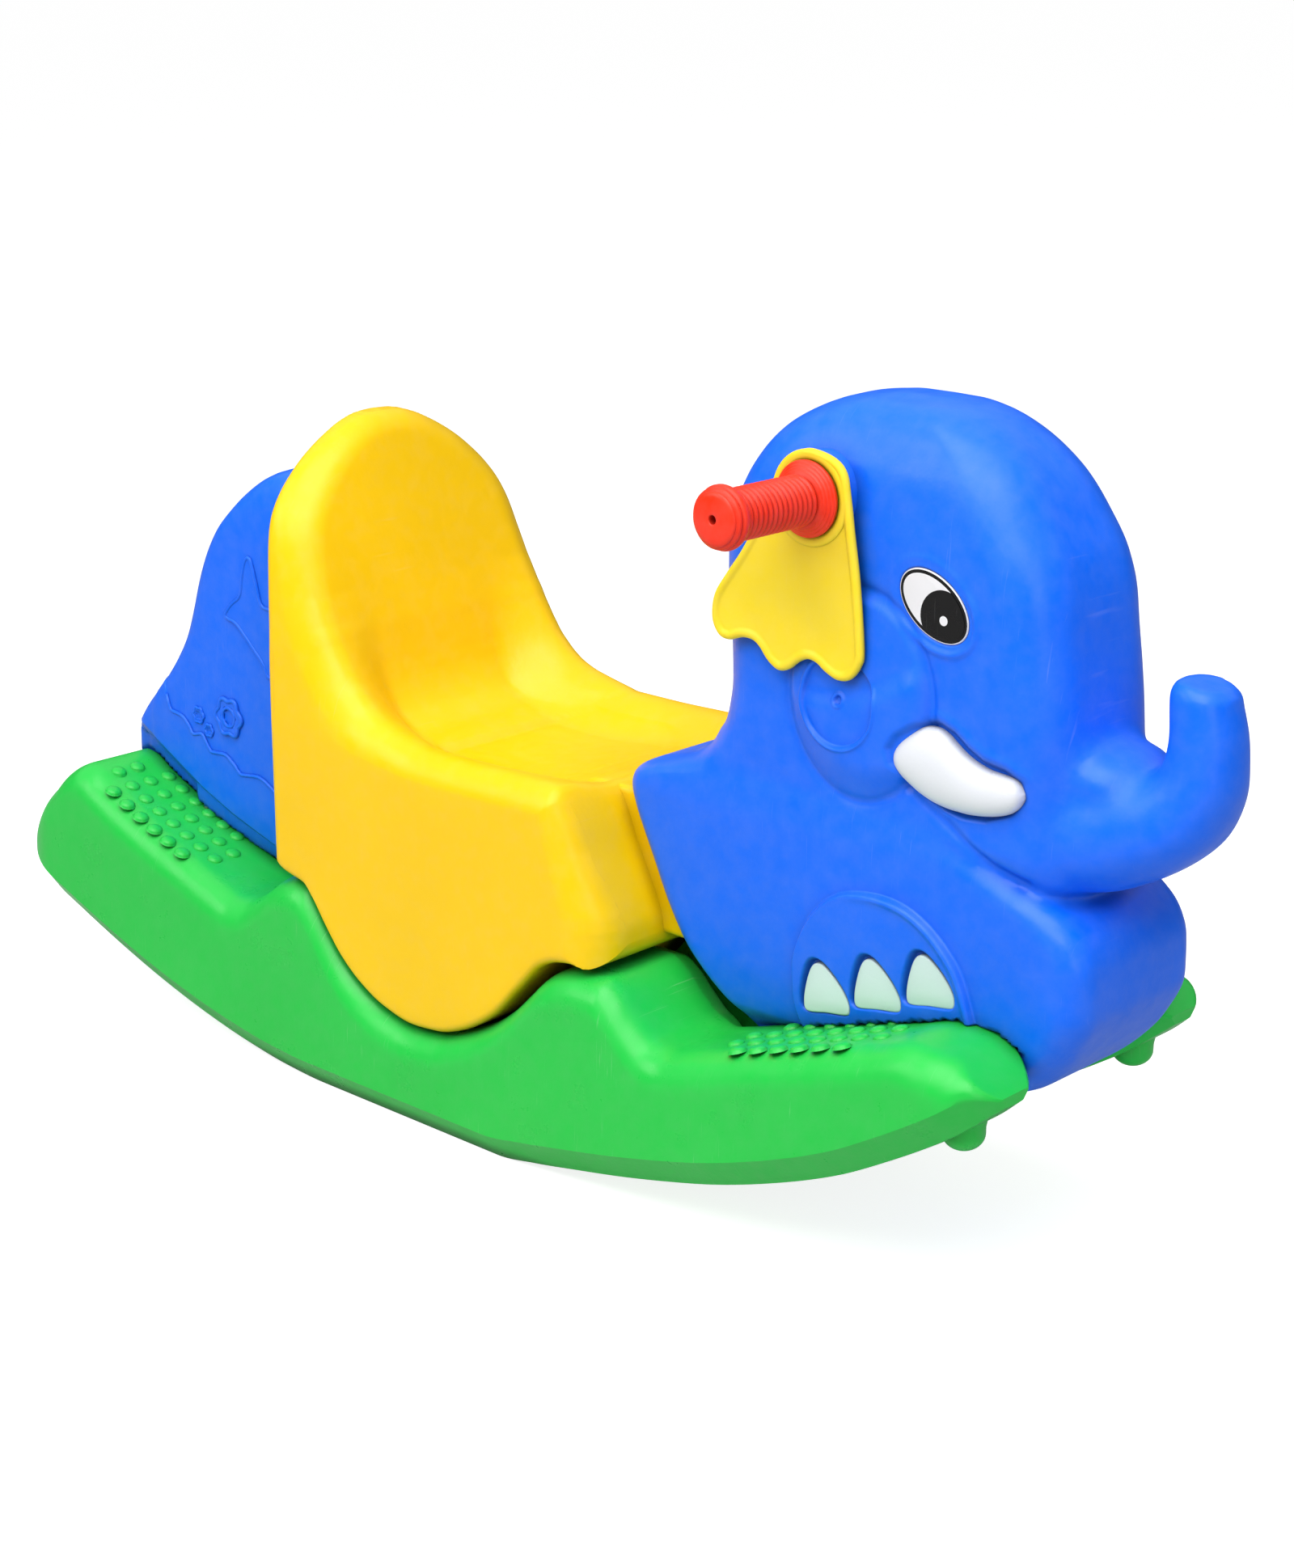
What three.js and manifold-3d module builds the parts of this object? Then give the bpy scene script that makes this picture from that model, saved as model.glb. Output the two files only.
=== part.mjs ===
// Rocking elephant for a small child, in millimetres: +X forward, +Y to its left, +Z up from the floor.
// Places along X are measured from the middle of the runners. The finished toy is centred at the end.
import * as THREE from 'three';
import { mergeVertices } from 'three/addons/utils/BufferGeometryUtils.js';
import Module from 'manifold-3d';

const wasm = await Module();
wasm.setup();

// Clearances shared by the pieces
const seatingGap = 0.4;
const cutOverrun = 6;

// Runners, drawn as [share of length, share of height] along the tread and along the top
const runnerLength = 864;
const runnerHeight = 166;
const runnerInnerFace = 44;
const runnerOuterFace = 118;
const runnerRidgeLift = 19;
const runnerTreadInset = 14;
const runnerTopRound = 18;
const runnerInnerRound = 7;
const runnerCornerShare = 0.3;
const runnerNoseRound = 40;
const runnerNoseInnerRound = 62;
const noseTipShare = 0.33;
const runnerTopShares = [
  [-0.500, 0.605], [-0.496, 0.700], [-0.487, 0.800], [-0.471, 0.895], [-0.450, 0.958],
  [-0.430, 0.978], [-0.411, 0.964], [-0.347, 0.855], [-0.289, 0.759], [-0.237, 0.672], [-0.220, 0.654],
  [-0.206, 0.675], [-0.188, 0.747], [-0.169, 0.819], [-0.153, 0.849], [-0.139, 0.837],
  [-0.127, 0.771], [-0.113, 0.675], [-0.097, 0.578], [-0.076, 0.494], [-0.051, 0.434],
  [-0.021, 0.404], [0.007, 0.416], [0.035, 0.464], [0.060, 0.530], [0.083, 0.620],
  [0.102, 0.717], [0.116, 0.789], [0.130, 0.831], [0.148, 0.855], [0.169, 0.855], [0.183, 0.819],
  [0.199, 0.741], [0.215, 0.681], [0.231, 0.669], [0.249, 0.693], [0.289, 0.759], [0.347, 0.855],
  [0.405, 0.952], [0.440, 1.000], [0.463, 0.988], [0.481, 0.940], [0.493, 0.892], [0.500, 0.855],
];
const treadShares = [
  [-0.500, 0.590], [-0.491, 0.518], [-0.468, 0.440], [-0.434, 0.373], [-0.381, 0.277],
  [-0.326, 0.193], [-0.274, 0.127], [-0.222, 0.072], [-0.172, 0.030], [-0.116, 0.000],
  [0.064, 0.000], [0.104, 0.030], [0.146, 0.072], [0.186, 0.114], [0.231, 0.169], [0.274, 0.229],
  [0.331, 0.331], [0.385, 0.452], [0.420, 0.554], [0.450, 0.645], [0.475, 0.723], [0.500, 0.820],
];

// Round stops under the tread
const stopReach = 399;
const stopDiameter = 24.5;
const stopDrop = 10;
const stopRoot = 12;
const stopShares = [[0, 0], [0.5, 0.12], [0.87, 0.45], [1, 0.9]];

// Seat, drawn as [share of length, share of height] along its side crest and along its middle
const seatRear = -150;
const seatLength = 288;
const seatHeight = 440;
const seatHalfWidth = 110;
const seatSideRound = 15;
const seatUnderRound = 6;
const seatEndRound = 5;
const seatLobeGap = 1.2;
const seatNoseLift = 12;
const seatNoseLiftShare = 0.86;
const seatDishPower = 2.3;
const seatWingPower = 1.5;
const seatRailHeight = 251;
const seatWingSlopeShare = 0.55;
const seatWingLimitShare = 0.7;
const seatLean = 20;
const seatLeanFrom = 305;
const seatLeanPower = 1.15;
const seatCrestShares = [
  [0.000, 0.823], [0.010, 0.832], [0.028, 0.836], [0.062, 0.834], [0.083, 0.820], [0.101, 0.795],
  [0.115, 0.773], [0.132, 0.745], [0.163, 0.707], [0.208, 0.659], [0.274, 0.611], [0.337, 0.584],
  [0.403, 0.573], [0.483, 0.568], [0.590, 0.568], [0.729, 0.570], [0.851, 0.574], [0.889, 0.574],
  [0.910, 0.569], [0.924, 0.557], [0.938, 0.532], [0.962, 0.473], [0.983, 0.420], [1.000, 0.377],
];
const seatMiddleShares = [
  [0.000, 0.964], [0.010, 0.984], [0.028, 0.993], [0.056, 0.995], [0.076, 0.982], [0.094, 0.943],
  [0.108, 0.886], [0.125, 0.795], [0.146, 0.709], [0.174, 0.627], [0.208, 0.577], [0.271, 0.545],
  [0.368, 0.530], [0.486, 0.525], [0.625, 0.530], [0.764, 0.541], [0.851, 0.550], [0.889, 0.556],
  [0.910, 0.555], [0.924, 0.543], [0.938, 0.525], [0.962, 0.470], [0.983, 0.420], [1.000, 0.377],
];

// Tongue of the seat that runs forward to the front body
const tongueHalfWidth = 50;
const tongueRear = 60;
const tongueLength = 150;
const tongueBottom = 156;
const tongueRise = 89;
const tongueRound = 5;
const tongueShares = [[0, 0], [1, 0], [1, 1], [0.36, 1], [0.20, 0.96], [0, 0.75]];

// Front body, drawn as slices: [share of height, rear share, front share, width share, rear round share]
const bodyBottom = 92;
const bodyHeight = 406;
const bodyRear = 122;
const bodyLength = 336;
const bodyHalfWidth = 58;
const bodyFrontRoundShare = 0.54;
const bodySliceShares = [
  [0.000, 0.381, 0.679, 0.52, 0.40], [0.020, 0.339, 0.714, 0.69, 0.30], [0.049, 0.277, 0.774, 0.74, 0.24],
  [0.069, 0.247, 0.815, 0.79, 0.22], [0.094, 0.214, 0.875, 0.91, 0.21], [0.131, 0.167, 0.926, 0.97, 0.21],
  [0.167, 0.128, 0.955, 0.98, 0.21], [0.229, 0.083, 0.985, 1.00, 0.21], [0.286, 0.051, 0.991, 1.00, 0.21],
  [0.320, 0.030, 0.982, 1.00, 0.21], [0.352, 0.012, 0.961, 1.00, 0.21], [0.389, 0.000, 0.932, 1.00, 0.21],
  [0.401, 0.003, 0.923, 0.99, 0.25], [0.409, 0.027, 0.920, 0.97, 0.32], [0.416, 0.101, 0.917, 0.96, 0.40],
  [0.426, 0.143, 0.917, 0.95, 0.46], [0.446, 0.167, 0.914, 0.93, 0.48], [0.485, 0.179, 0.908, 0.93, 0.50],
  [0.525, 0.193, 0.902, 0.94, 0.50], [0.574, 0.202, 0.899, 0.94, 0.50], [0.648, 0.199, 0.887, 0.94, 0.50],
  [0.709, 0.190, 0.875, 0.94, 0.50], [0.759, 0.190, 0.866, 0.94, 0.50], [0.808, 0.196, 0.848, 0.93, 0.54],
  [0.862, 0.220, 0.812, 0.90, 0.60], [0.901, 0.247, 0.780, 0.85, 0.65], [0.938, 0.286, 0.735, 0.74, 0.70],
  [0.963, 0.330, 0.690, 0.64, 0.78], [0.983, 0.387, 0.637, 0.48, 0.85], [1.000, 0.470, 0.548, 0.19, 0.90],
];

// Trunk, drawn along its middle as [share of reach, share of rise, depth share, width share]
const trunkRoot = 385;
const trunkBottom = 236;
const trunkReach = 126;
const trunkRise = 128;
const trunkHalfDepth = 36;
const trunkHalfWidth = 50;
const trunkSquareness = 2.4;
const trunkShares = [
  [-0.20, 0.34, 0.90, 0.84], [0.10, 0.30, 0.95, 0.92], [0.32, 0.27, 0.92, 0.88],
  [0.50, 0.33, 0.92, 0.80], [0.65, 0.40, 0.80, 0.68], [0.75, 0.50, 0.69, 0.56],
  [0.81, 0.63, 0.61, 0.47], [0.82, 0.77, 0.55, 0.42], [0.80, 0.91, 0.49, 0.39],
  [0.785, 0.985, 0.42, 0.35], [0.78, 1.000, 0.30, 0.26],
];

// Cheek lobe on each side of the head
const cheekForward = 299.5;
const cheekUp = 334.2;
const cheekHalfLength = 48;
const cheekHalfHeight = 58;
const cheekFace = 58;
const cheekDepth = 7;

// Foot arch and toenails on each side of the front body
const archForward = 319;
const archUp = 149;
const archHalfLength = 62;
const archRise = 74;
const archRelief = 3.5;
const archRound = 2;
const nailThickness = 2;
const nailSocketDepth = 1.2;
const nailForward = 267;
const nailUp = 145;
const nailRise = 30;
const nailSpan = 34;
const nailPitch = 37;
const nailStep = 12;
const nailOutlineShares = [
  [0.00, 0.16], [0.08, -0.04], [0.50, 0.04], [0.94, 0.12], [1.00, 0.24], [0.96, 0.42],
  [0.78, 0.68], [0.52, 0.92], [0.32, 1.00], [0.16, 0.90], [0.05, 0.56],
];

// Rear body, drawn as slices: [share of height, rear share, width share, tuck share]. The tuck takes
// the front of the slice into the backrest, where the backrest's own shape trims it.
const rumpBottom = 104;
const rumpHeight = 298;
const rumpLength = 229;
const rumpHalfWidth = 57;
const rumpRoundShare = 0.34;
const rumpGap = 1;
const rumpTuck = 5;
const rumpSliceShares = [
  [0.000, 0.659, 0.67, 0], [0.027, 0.845, 0.81, 0], [0.067, 0.934, 0.93, 0], [0.114, 0.969, 0.98, 0],
  [0.130, 0.973, 0.99, 0], [0.155, 0.978, 0.99, 1], [0.171, 0.982, 1.00, 1], [0.228, 0.982, 1.00, 1],
  [0.262, 0.978, 1.00, 1], [0.295, 0.956, 1.00, 1], [0.339, 0.912, 1.00, 1], [0.406, 0.827, 1.00, 1],
  [0.473, 0.752, 1.00, 1], [0.540, 0.695, 1.00, 1], [0.607, 0.659, 1.00, 1], [0.674, 0.628, 1.00, 1],
  [0.742, 0.588, 1.00, 1], [0.809, 0.531, 1.00, 1], [0.832, 0.501, 0.99, 0], [0.870, 0.451, 0.98, 0],
  [0.915, 0.381, 0.93, 0], [0.952, 0.305, 0.84, 0], [0.978, 0.195, 0.67, 0], [0.986, 0.106, 0.49, 0],
];

// Handle bar, ears and grips
const handleForward = 266.5;
const handleUp = 443.2;
const barDiameter = 22;
const barWall = 1.5;
const barFit = 0.2;
const headBoss = 58.6;
const headBossDiameter = 50;
const earThickness = 4.4;
const earGap = 0.35;
const earHoleFit = 0.3;
const earNeckDiameter = 31;
const flangeDiameter = 43;
const flangeThickness = 4;
const gripLength = 78;
const gripDiameter = 29;
const gripWaistDiameter = 27.4;
const gripRibs = 16;
const knobDiameter = 36;
const knobLength = 14;
const endDiscDiameter = 32;
const endWall = 6;
const endHoleDiameter = 5;
const flangeFlatShare = 0.6;
const knobSlopeShare = 0.2;
const knobFlatShare = 0.6;
const endDiscFlatShare = 0.5;

// Ear outline about the handle, as shares of the ear's width and drop
const earWidth = 110;
const earDrop = 101;
const earRimBevel = 1.4;
const earShares = [
  [0.00, 0.27], [0.14, 0.24], [0.22, 0.17], [0.25, 0.04], [0.28, -0.16], [0.32, -0.42],
  [0.355, -0.78], [0.34, -0.88], [0.28, -0.96], [0.20, -0.98], [0.12, -0.95], [0.06, -0.91],
  [0.00, -0.90], [-0.06, -0.93], [-0.12, -0.98], [-0.19, -1.00], [-0.26, -0.96], [-0.32, -0.89],
  [-0.37, -0.86], [-0.44, -0.86], [-0.53, -0.89], [-0.60, -0.87], [-0.645, -0.78], [-0.63, -0.64],
  [-0.545, -0.50], [-0.43, -0.33], [-0.24, 0.02], [-0.17, 0.16], [-0.09, 0.24],
];

// Tusks, drawn as shares of the tusk's length and drop
const tuskForward = 325.5;
const tuskUp = 284.2;
const tuskLength = 80;
const tuskDrop = 44;
const tuskInner = 43;
const tuskOuter = 62;
const tuskRound = 6;
const tuskShares = [
  [0.00, 0.62], [0.06, 0.78], [0.20, 0.95], [0.34, 1.00], [0.45, 0.93], [0.56, 0.78], [0.70, 0.65],
  [0.88, 0.60], [0.98, 0.50], [1.00, 0.34], [0.93, 0.18], [0.74, 0.03], [0.56, 0.00], [0.40, 0.04],
  [0.24, 0.16], [0.10, 0.36], [0.02, 0.48],
];

// Eyes, thin discs in shallow sockets
const eyeForward = 347.5;
const eyeRiseShare = 0.3916;
const eyeUp = tuskUp + tuskDrop + (bodyBottom + bodyHeight - tuskUp - tuskDrop) * eyeRiseShare;
const eyeLength = 51;
const eyeHeight = 33;
const eyeTilt = -0.56;
const eyeFace = 54.9;
const eyeThickness = 1.4;

// Screws that hold the runners
const screwDiameter = 4.5;
const screwHeadDiameter = 9.5;
const screwHeadHeight = 3.5;
const screwBite = 22;
const screwGrip = 26;
const screwFit = 0.3;
const counterboreDiameter = 11;
const screwEndInset = 7.5;
const screwRearForward = -292;
const screwMiddleForward = -18;
const screwFrontForward = 300;
const screwHeadFlatShare = 0.8;
const screwHeadBevelShare = 0.4;

// Round faces are drawn with these many sides
const roundSides = 24;
const gripSides = 18;
const screwSides = 12;
const cornerSteps = 4;
const trunkSides = 20;

const runnerMiddle = (runnerInnerFace + runnerOuterFace) / 2;
const screwEndSide = runnerInnerFace + screwEndInset;
const screwPlaces = [
  { name: 'rear', forward: screwRearForward, side: screwEndSide },
  { name: 'middle', forward: screwMiddleForward, side: runnerMiddle },
  { name: 'front', forward: screwFrontForward, side: screwEndSide },
];

const sides = [{ name: 'right', sign: -1 }, { name: 'left', sign: 1 }];

function material(color, roughness, metalness = 0) {
  return new THREE.MeshStandardMaterial({ color, roughness, metalness });
}

const green = material(0x3ccd5a, 0.38);
const yellow = material(0xffd41e, 0.38);
const blue = material(0x1f69fa, 0.42);
const lemon = material(0xffe440, 0.4);
const red = material(0xff3420, 0.45);
const white = material(0xf4f4f2, 0.25);
const pale = material(0xd9ebe9, 0.35);
const black = material(0x1a1614, 0.3);
const steel = material(0xb8bcc0, 0.35, 0.9);

// Closed skin over rings that all have as many points, with its faces turned outward. Rings that
// cross the middle plane are mirrored, so their faces are split as mirror images too.
function skin(rings, mirrored = false) {
  const count = rings[0].length;
  const positions = rings.flat().flatMap((point) => [point.x, point.y, point.z]);
  const centre = (ring) => ring.reduce((sum, point) => sum.add(point), new THREE.Vector3())
    .divideScalar(count);
  const first = rings.length * count;
  for (const end of [centre(rings[0]), centre(rings.at(-1))]) positions.push(end.x, end.y, end.z);
  const faces = [];
  for (let row = 0; row + 1 < rings.length; row += 1) {
    for (let i = 0; i < count; i += 1) {
      const next = (i + 1) % count;
      const a = row * count + i;
      const b = row * count + next;
      const turned = mirrored && rings[row][i].y + rings[row][next].y < 0;
      if (turned) faces.push(a, b, b + count, a, b + count, a + count);
      else faces.push(a, b, a + count, b, b + count, a + count);
    }
  }
  const lastRow = first - count;
  for (let i = 0; i < count; i += 1) {
    faces.push((i + 1) % count, i, first);
    faces.push(lastRow + i, lastRow + (i + 1) % count, first + 1);
  }
  const geometry = new THREE.BufferGeometry();
  geometry.setAttribute('position', new THREE.Float32BufferAttribute(positions, 3));
  geometry.setIndex(signedVolume(positions, faces) < 0 ? faces.reverse() : faces);
  return geometry;
}

function signedVolume(positions, faces) {
  const corner = (i) => new THREE.Vector3().fromArray(positions, 3 * i);
  let volume = 0;
  for (let i = 0; i < faces.length; i += 3) {
    volume += corner(faces[i]).dot(corner(faces[i + 1]).cross(corner(faces[i + 2])));
  }
  return volume;
}

// Turns a closed geometry into a solid for joining and cutting, and back
function solid(geometry) {
  const bare = geometry.clone();
  bare.deleteAttribute('normal');
  bare.deleteAttribute('uv');
  const merged = mergeVertices(bare.index ? bare.toNonIndexed() : bare);
  return new wasm.Manifold(new wasm.Mesh({
    numProp: 3,
    vertProperties: new Float32Array(merged.attributes.position.array),
    triVerts: new Uint32Array(merged.index.array),
  }));
}

function geometryOf(body) {
  const mesh = body.getMesh();
  const geometry = new THREE.BufferGeometry();
  geometry.setAttribute('position', new THREE.BufferAttribute(mesh.vertProperties, 3));
  geometry.setIndex(new THREE.BufferAttribute(mesh.triVerts, 1));
  const faceted = geometry.toNonIndexed();
  faceted.computeVertexNormals();
  return faceted;
}

// Height on a broken line of [x, z] points
function heightOn(line, x) {
  if (x <= line[0][0]) return line[0][1];
  for (let i = 1; i < line.length; i += 1) {
    const [x0, z0] = line[i - 1];
    const [x1, z1] = line[i];
    if (x <= x1) return z0 + (z1 - z0) * (x - x0) / (x1 - x0);
  }
  return line.at(-1)[1];
}

const scaled = (shares, start, length, base, height) => shares.map(
  ([along, up]) => [start + along * length, base + up * height],
);

// Flat outline in the side view, extruded across the toy between two distances from its middle
function sidePlate(points, inner, outer, sign, bevel = 0, bevelSteps = 2) {
  const shape = new THREE.Shape(points.map(([x, z]) => new THREE.Vector2(x, z)));
  const geometry = new THREE.ExtrudeGeometry(shape, {
    depth: outer - inner - 2 * bevel,
    bevelEnabled: bevel > 0,
    bevelThickness: bevel,
    bevelSize: bevel,
    bevelOffset: -bevel,
    bevelSegments: bevelSteps,
    curveSegments: roundSides,
    steps: 1,
  });
  geometry.rotateX(Math.PI / 2);
  geometry.translate(0, sign > 0 ? outer - bevel : -inner - bevel, 0);
  return geometry;
}

// Round solid about an axis across the toy, from [radius, distance from the middle] points
function acrossLathe(profile, sign, forward, up, turns = roundSides) {
  const points = profile.map(([radius, across]) => new THREE.Vector2(radius, across));
  const geometry = new THREE.LatheGeometry(points, turns);
  geometry.rotateX(sign > 0 ? 0 : Math.PI);
  geometry.translate(forward, 0, up);
  return geometry;
}

function uprightLathe(profile, forward, side, turns = roundSides) {
  const points = profile.map(([radius, up]) => new THREE.Vector2(radius, up));
  const geometry = new THREE.LatheGeometry(points, turns);
  geometry.rotateX(Math.PI / 2);
  geometry.translate(forward, side, 0);
  return geometry;
}

const ellipseRing = (sidesCount, power, place) => Array.from({ length: sidesCount }, (unused, i) => {
  const angle = (2 * Math.PI * i) / sidesCount;
  const pull = (value) => Math.sign(value) * Math.abs(value) ** (2 / power);
  return place(pull(Math.cos(angle)), pull(Math.sin(angle)));
});

// Ring of a flat slice with round corners, wider at its rear or front corners as asked
function sliceRing(rear, front, half, rearRound, frontRound, z) {
  const corners = [
    [front - frontRound, half - frontRound, frontRound, 0],
    [rear + rearRound, half - rearRound, rearRound, 1],
    [rear + rearRound, rearRound - half, rearRound, 2],
    [front - frontRound, frontRound - half, frontRound, 3],
  ];
  return corners.flatMap(([x, y, round, quarter]) => Array.from({ length: cornerSteps + 1 }, (unused, i) => {
    const angle = (quarter + i / cornerSteps) * (Math.PI / 2);
    return new THREE.Vector3(x + round * Math.cos(angle), y + round * Math.sin(angle), z);
  }));
}

// Runners
const runnerTop = scaled(runnerTopShares, 0, runnerLength, 0, runnerHeight);
const tread = scaled(treadShares, 0, runnerLength, 0, runnerHeight);
const runnerStations = [...new Set([...runnerTop, ...tread].map(([x]) => x))].sort((a, b) => a - b)
  .filter((x, i, all) => i === 0 || x - all[i - 1] > runnerInnerRound / 2 || i === all.length - 1);

function runnerRing(x, sign, clearance) {
  const end = runnerLength / 2 + clearance;
  const fill = (round) => {
    const gone = 1 - Math.min(end - Math.abs(x), round) / round;
    return Math.sqrt(1 - (1 - noseTipShare ** 2) * gone ** 2);
  };
  const half = runnerMiddle - runnerInnerFace;
  const inner = runnerMiddle - half * fill(runnerNoseInnerRound) - clearance;
  const outer = runnerMiddle + half * fill(runnerNoseRound) + clearance;
  const bottom = heightOn(tread, x) - clearance;
  const top = heightOn(runnerTop, x) + clearance;
  const ridge = Math.min(bottom + runnerRidgeLift, (bottom + top) / 2);
  const round = Math.min(runnerTopRound, top - ridge);
  const innerRound = Math.min(runnerInnerRound, top - ridge);
  const inset = runnerTreadInset * fill(runnerNoseRound);
  const outline = [
    [inner + inset, bottom], [outer - inset, bottom], [outer, ridge], [outer, top - round],
    ...[1, 2, 3].map((step) => {
      const angle = (step * Math.PI) / 6;
      return [outer - round * (1 - Math.cos(angle)), top - round * (1 - Math.sin(angle))];
    }),
    [inner + innerRound, top],
    [inner + innerRound * runnerCornerShare, top - innerRound * runnerCornerShare],
    [inner, top - innerRound], [inner, ridge],
  ];
  return outline.map(([y, z]) => new THREE.Vector3(x, sign * y, z));
}

const runnerSkin = (sign, clearance = 0) => solid(
  skin(runnerStations.map((x) => runnerRing(x, sign, clearance))),
);

function treadStop(sign, forward) {
  const treadHeight = heightOn(tread, forward);
  const radius = stopDiameter / 2;
  const low = treadHeight - stopDrop;
  const profile = [
    ...scaled(stopShares, 0, radius, low, stopDrop),
    [radius, treadHeight + stopRoot], [0, treadHeight + stopRoot],
  ];
  return solid(uprightLathe(profile, forward, sign * runnerMiddle));
}

// Screw heads sit this far below the runner's top
function screwSeat(place) {
  return heightOn(runnerTop, place.forward) - screwGrip;
}

function screwHole(place, sign) {
  const seat = screwSeat(place);
  const floor = heightOn(tread, place.forward) - cutOverrun;
  const shank = screwDiameter / 2 + screwFit;
  const bore = counterboreDiameter / 2;
  const tip = heightOn(runnerTop, place.forward) + screwBite + screwFit;
  const profile = [[0, floor], [bore, floor], [bore, seat], [shank, seat], [shank, tip], [0, tip]];
  return solid(uprightLathe(profile, place.forward, sign * place.side));
}

function screw(place) {
  const seat = screwSeat(place) - screwFit;
  const radius = screwDiameter / 2;
  const head = screwHeadDiameter / 2;
  const tip = heightOn(runnerTop, place.forward) + screwBite;
  const low = seat - screwHeadHeight;
  const profile = [
    [0, low], [head * screwHeadFlatShare, low], [head, low + screwHeadHeight * screwHeadBevelShare],
    [head, seat], [radius, seat],
    [radius, tip - radius], [0, tip],
  ];
  return profile;
}

const screwCuts = sides.flatMap(({ sign }) => screwPlaces.map((place) => screwHole(place, sign)));
const cutAll = (body, cutters) => cutters.reduce((rest, cutter) => rest.subtract(cutter), body);

function runner(sign) {
  let body = runnerSkin(sign);
  for (const forward of [-stopReach, stopReach]) body = body.add(treadStop(sign, forward));
  return geometryOf(cutAll(body, screwCuts));
}

// Front body
function bodySlices(clearance) {
  return bodySliceShares.map(([up, rear, front, width, rearRoundShare]) => sliceRing(
    bodyRear + rear * bodyLength - clearance,
    bodyRear + front * bodyLength + clearance,
    width * bodyHalfWidth + clearance,
    width * bodyHalfWidth * rearRoundShare,
    width * bodyHalfWidth * Math.max(bodyFrontRoundShare, rearRoundShare),
    bodyBottom + up * bodyHeight,
  ));
}

function trunkSkin() {
  const middle = trunkShares.map(([along, up]) => new THREE.Vector2(
    trunkRoot + along * trunkReach,
    trunkBottom + up * trunkRise,
  ));
  const rings = trunkShares.map(([, , depth, width], i) => {
    const before = middle[Math.max(i - 1, 0)];
    const after = middle[Math.min(i + 1, middle.length - 1)];
    const along = after.clone().sub(before).normalize();
    return ellipseRing(trunkSides, trunkSquareness, (c, s) => new THREE.Vector3(
      middle[i].x - along.y * c * depth * trunkHalfDepth,
      s * width * trunkHalfWidth,
      middle[i].y + along.x * c * depth * trunkHalfDepth,
    ));
  });
  return solid(skin(rings, true));
}

function cheek(sign) {
  const geometry = new THREE.SphereGeometry(1, roundSides, roundSides / 2);
  geometry.scale(cheekHalfLength, cheekDepth, cheekHalfHeight);
  geometry.translate(cheekForward, sign * (cheekFace - cheekDepth), cheekUp);
  return solid(geometry);
}

const archFace = bodyHalfWidth;

function archOutline() {
  const points = [];
  for (let i = 0; i <= roundSides / 2; i += 1) {
    const angle = (2 * Math.PI * i) / roundSides;
    points.push([archForward + archHalfLength * Math.cos(angle), archUp + archRise * Math.sin(angle)]);
  }
  return points;
}

const arch = (sign) => solid(sidePlate(
  archOutline(), archFace / 2, archFace + archRelief, sign, archRound,
));

const nailOutline = (index) => scaled(
  nailOutlineShares, nailForward + index * nailPitch, nailSpan, nailUp + index * nailStep, nailRise,
);
const nailOuter = archFace + archRelief - nailSocketDepth + nailThickness;

const nailSocket = (index, sign) => solid(sidePlate(
  grown(nailOutline(index), seatingGap), nailOuter - nailThickness - seatingGap,
  nailOuter + cutOverrun, sign,
));

// Outline moved outward along its corners
function grown(points, distance) {
  const area = points.reduce((sum, [x, z], i) => {
    const [nextX, nextZ] = points[(i + 1) % points.length];
    return sum + x * nextZ - nextX * z;
  }, 0);
  const outward = Math.sign(area) * distance;
  return points.map(([x, z], i) => {
    const [beforeX, beforeZ] = points[(i + points.length - 1) % points.length];
    const [afterX, afterZ] = points[(i + 1) % points.length];
    const along = new THREE.Vector2(afterX - beforeX, afterZ - beforeZ).normalize();
    return [x + along.y * outward, z - along.x * outward];
  });
}

const tuskOutline = scaled(tuskShares, tuskForward, tuskLength, tuskUp, tuskDrop);
const tusk = (sign) => sidePlate(tuskOutline, tuskInner, tuskOuter, sign, tuskRound, 3);
const tuskSocket = (sign) => solid(sidePlate(
  grown(tuskOutline, seatingGap), tuskInner - seatingGap, tuskOuter + cutOverrun, sign,
));

function eyeOutline(growth) {
  return Array.from({ length: roundSides }, (unused, i) => {
    const angle = (2 * Math.PI * i) / roundSides;
    const along = (eyeLength / 2 + growth) * Math.cos(angle);
    const across = (eyeHeight / 2 + growth) * Math.sin(angle);
    return [
      eyeForward + along * Math.cos(eyeTilt) - across * Math.sin(eyeTilt),
      eyeUp + along * Math.sin(eyeTilt) + across * Math.cos(eyeTilt),
    ];
  });
}

const eye = (sign) => sidePlate(eyeOutline(0), eyeFace - eyeThickness, eyeFace, sign);
const eyeSocket = (sign) => solid(sidePlate(
  eyeOutline(seatingGap), eyeFace - eyeThickness - seatingGap, eyeFace + cutOverrun, sign,
));

function acrossRod(diameter, from, to, forward = handleForward, up = handleUp) {
  return solid(acrossLathe(
    [[0, from], [diameter / 2, from], [diameter / 2, to], [0, to]], 1, forward, up,
  ));
}

const runnerClearance = sides.map(({ sign }) => runnerSkin(sign, seatingGap));

function frontBody() {
  let body = solid(skin(bodySlices(0), true)).add(trunkSkin());
  body = body.add(acrossRod(headBossDiameter, -headBoss, headBoss));
  for (const { sign } of sides) body = body.add(cheek(sign)).add(arch(sign));
  const cuts = [...runnerClearance, ...screwCuts, acrossRod(
    barDiameter + 2 * barFit, -headBoss - cutOverrun, headBoss + cutOverrun,
  )];
  for (const { sign } of sides) {
    cuts.push(tuskSocket(sign), eyeSocket(sign));
    for (const index of [0, 1, 2]) cuts.push(nailSocket(index, sign));
  }
  return geometryOf(cutAll(body, cuts));
}

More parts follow.
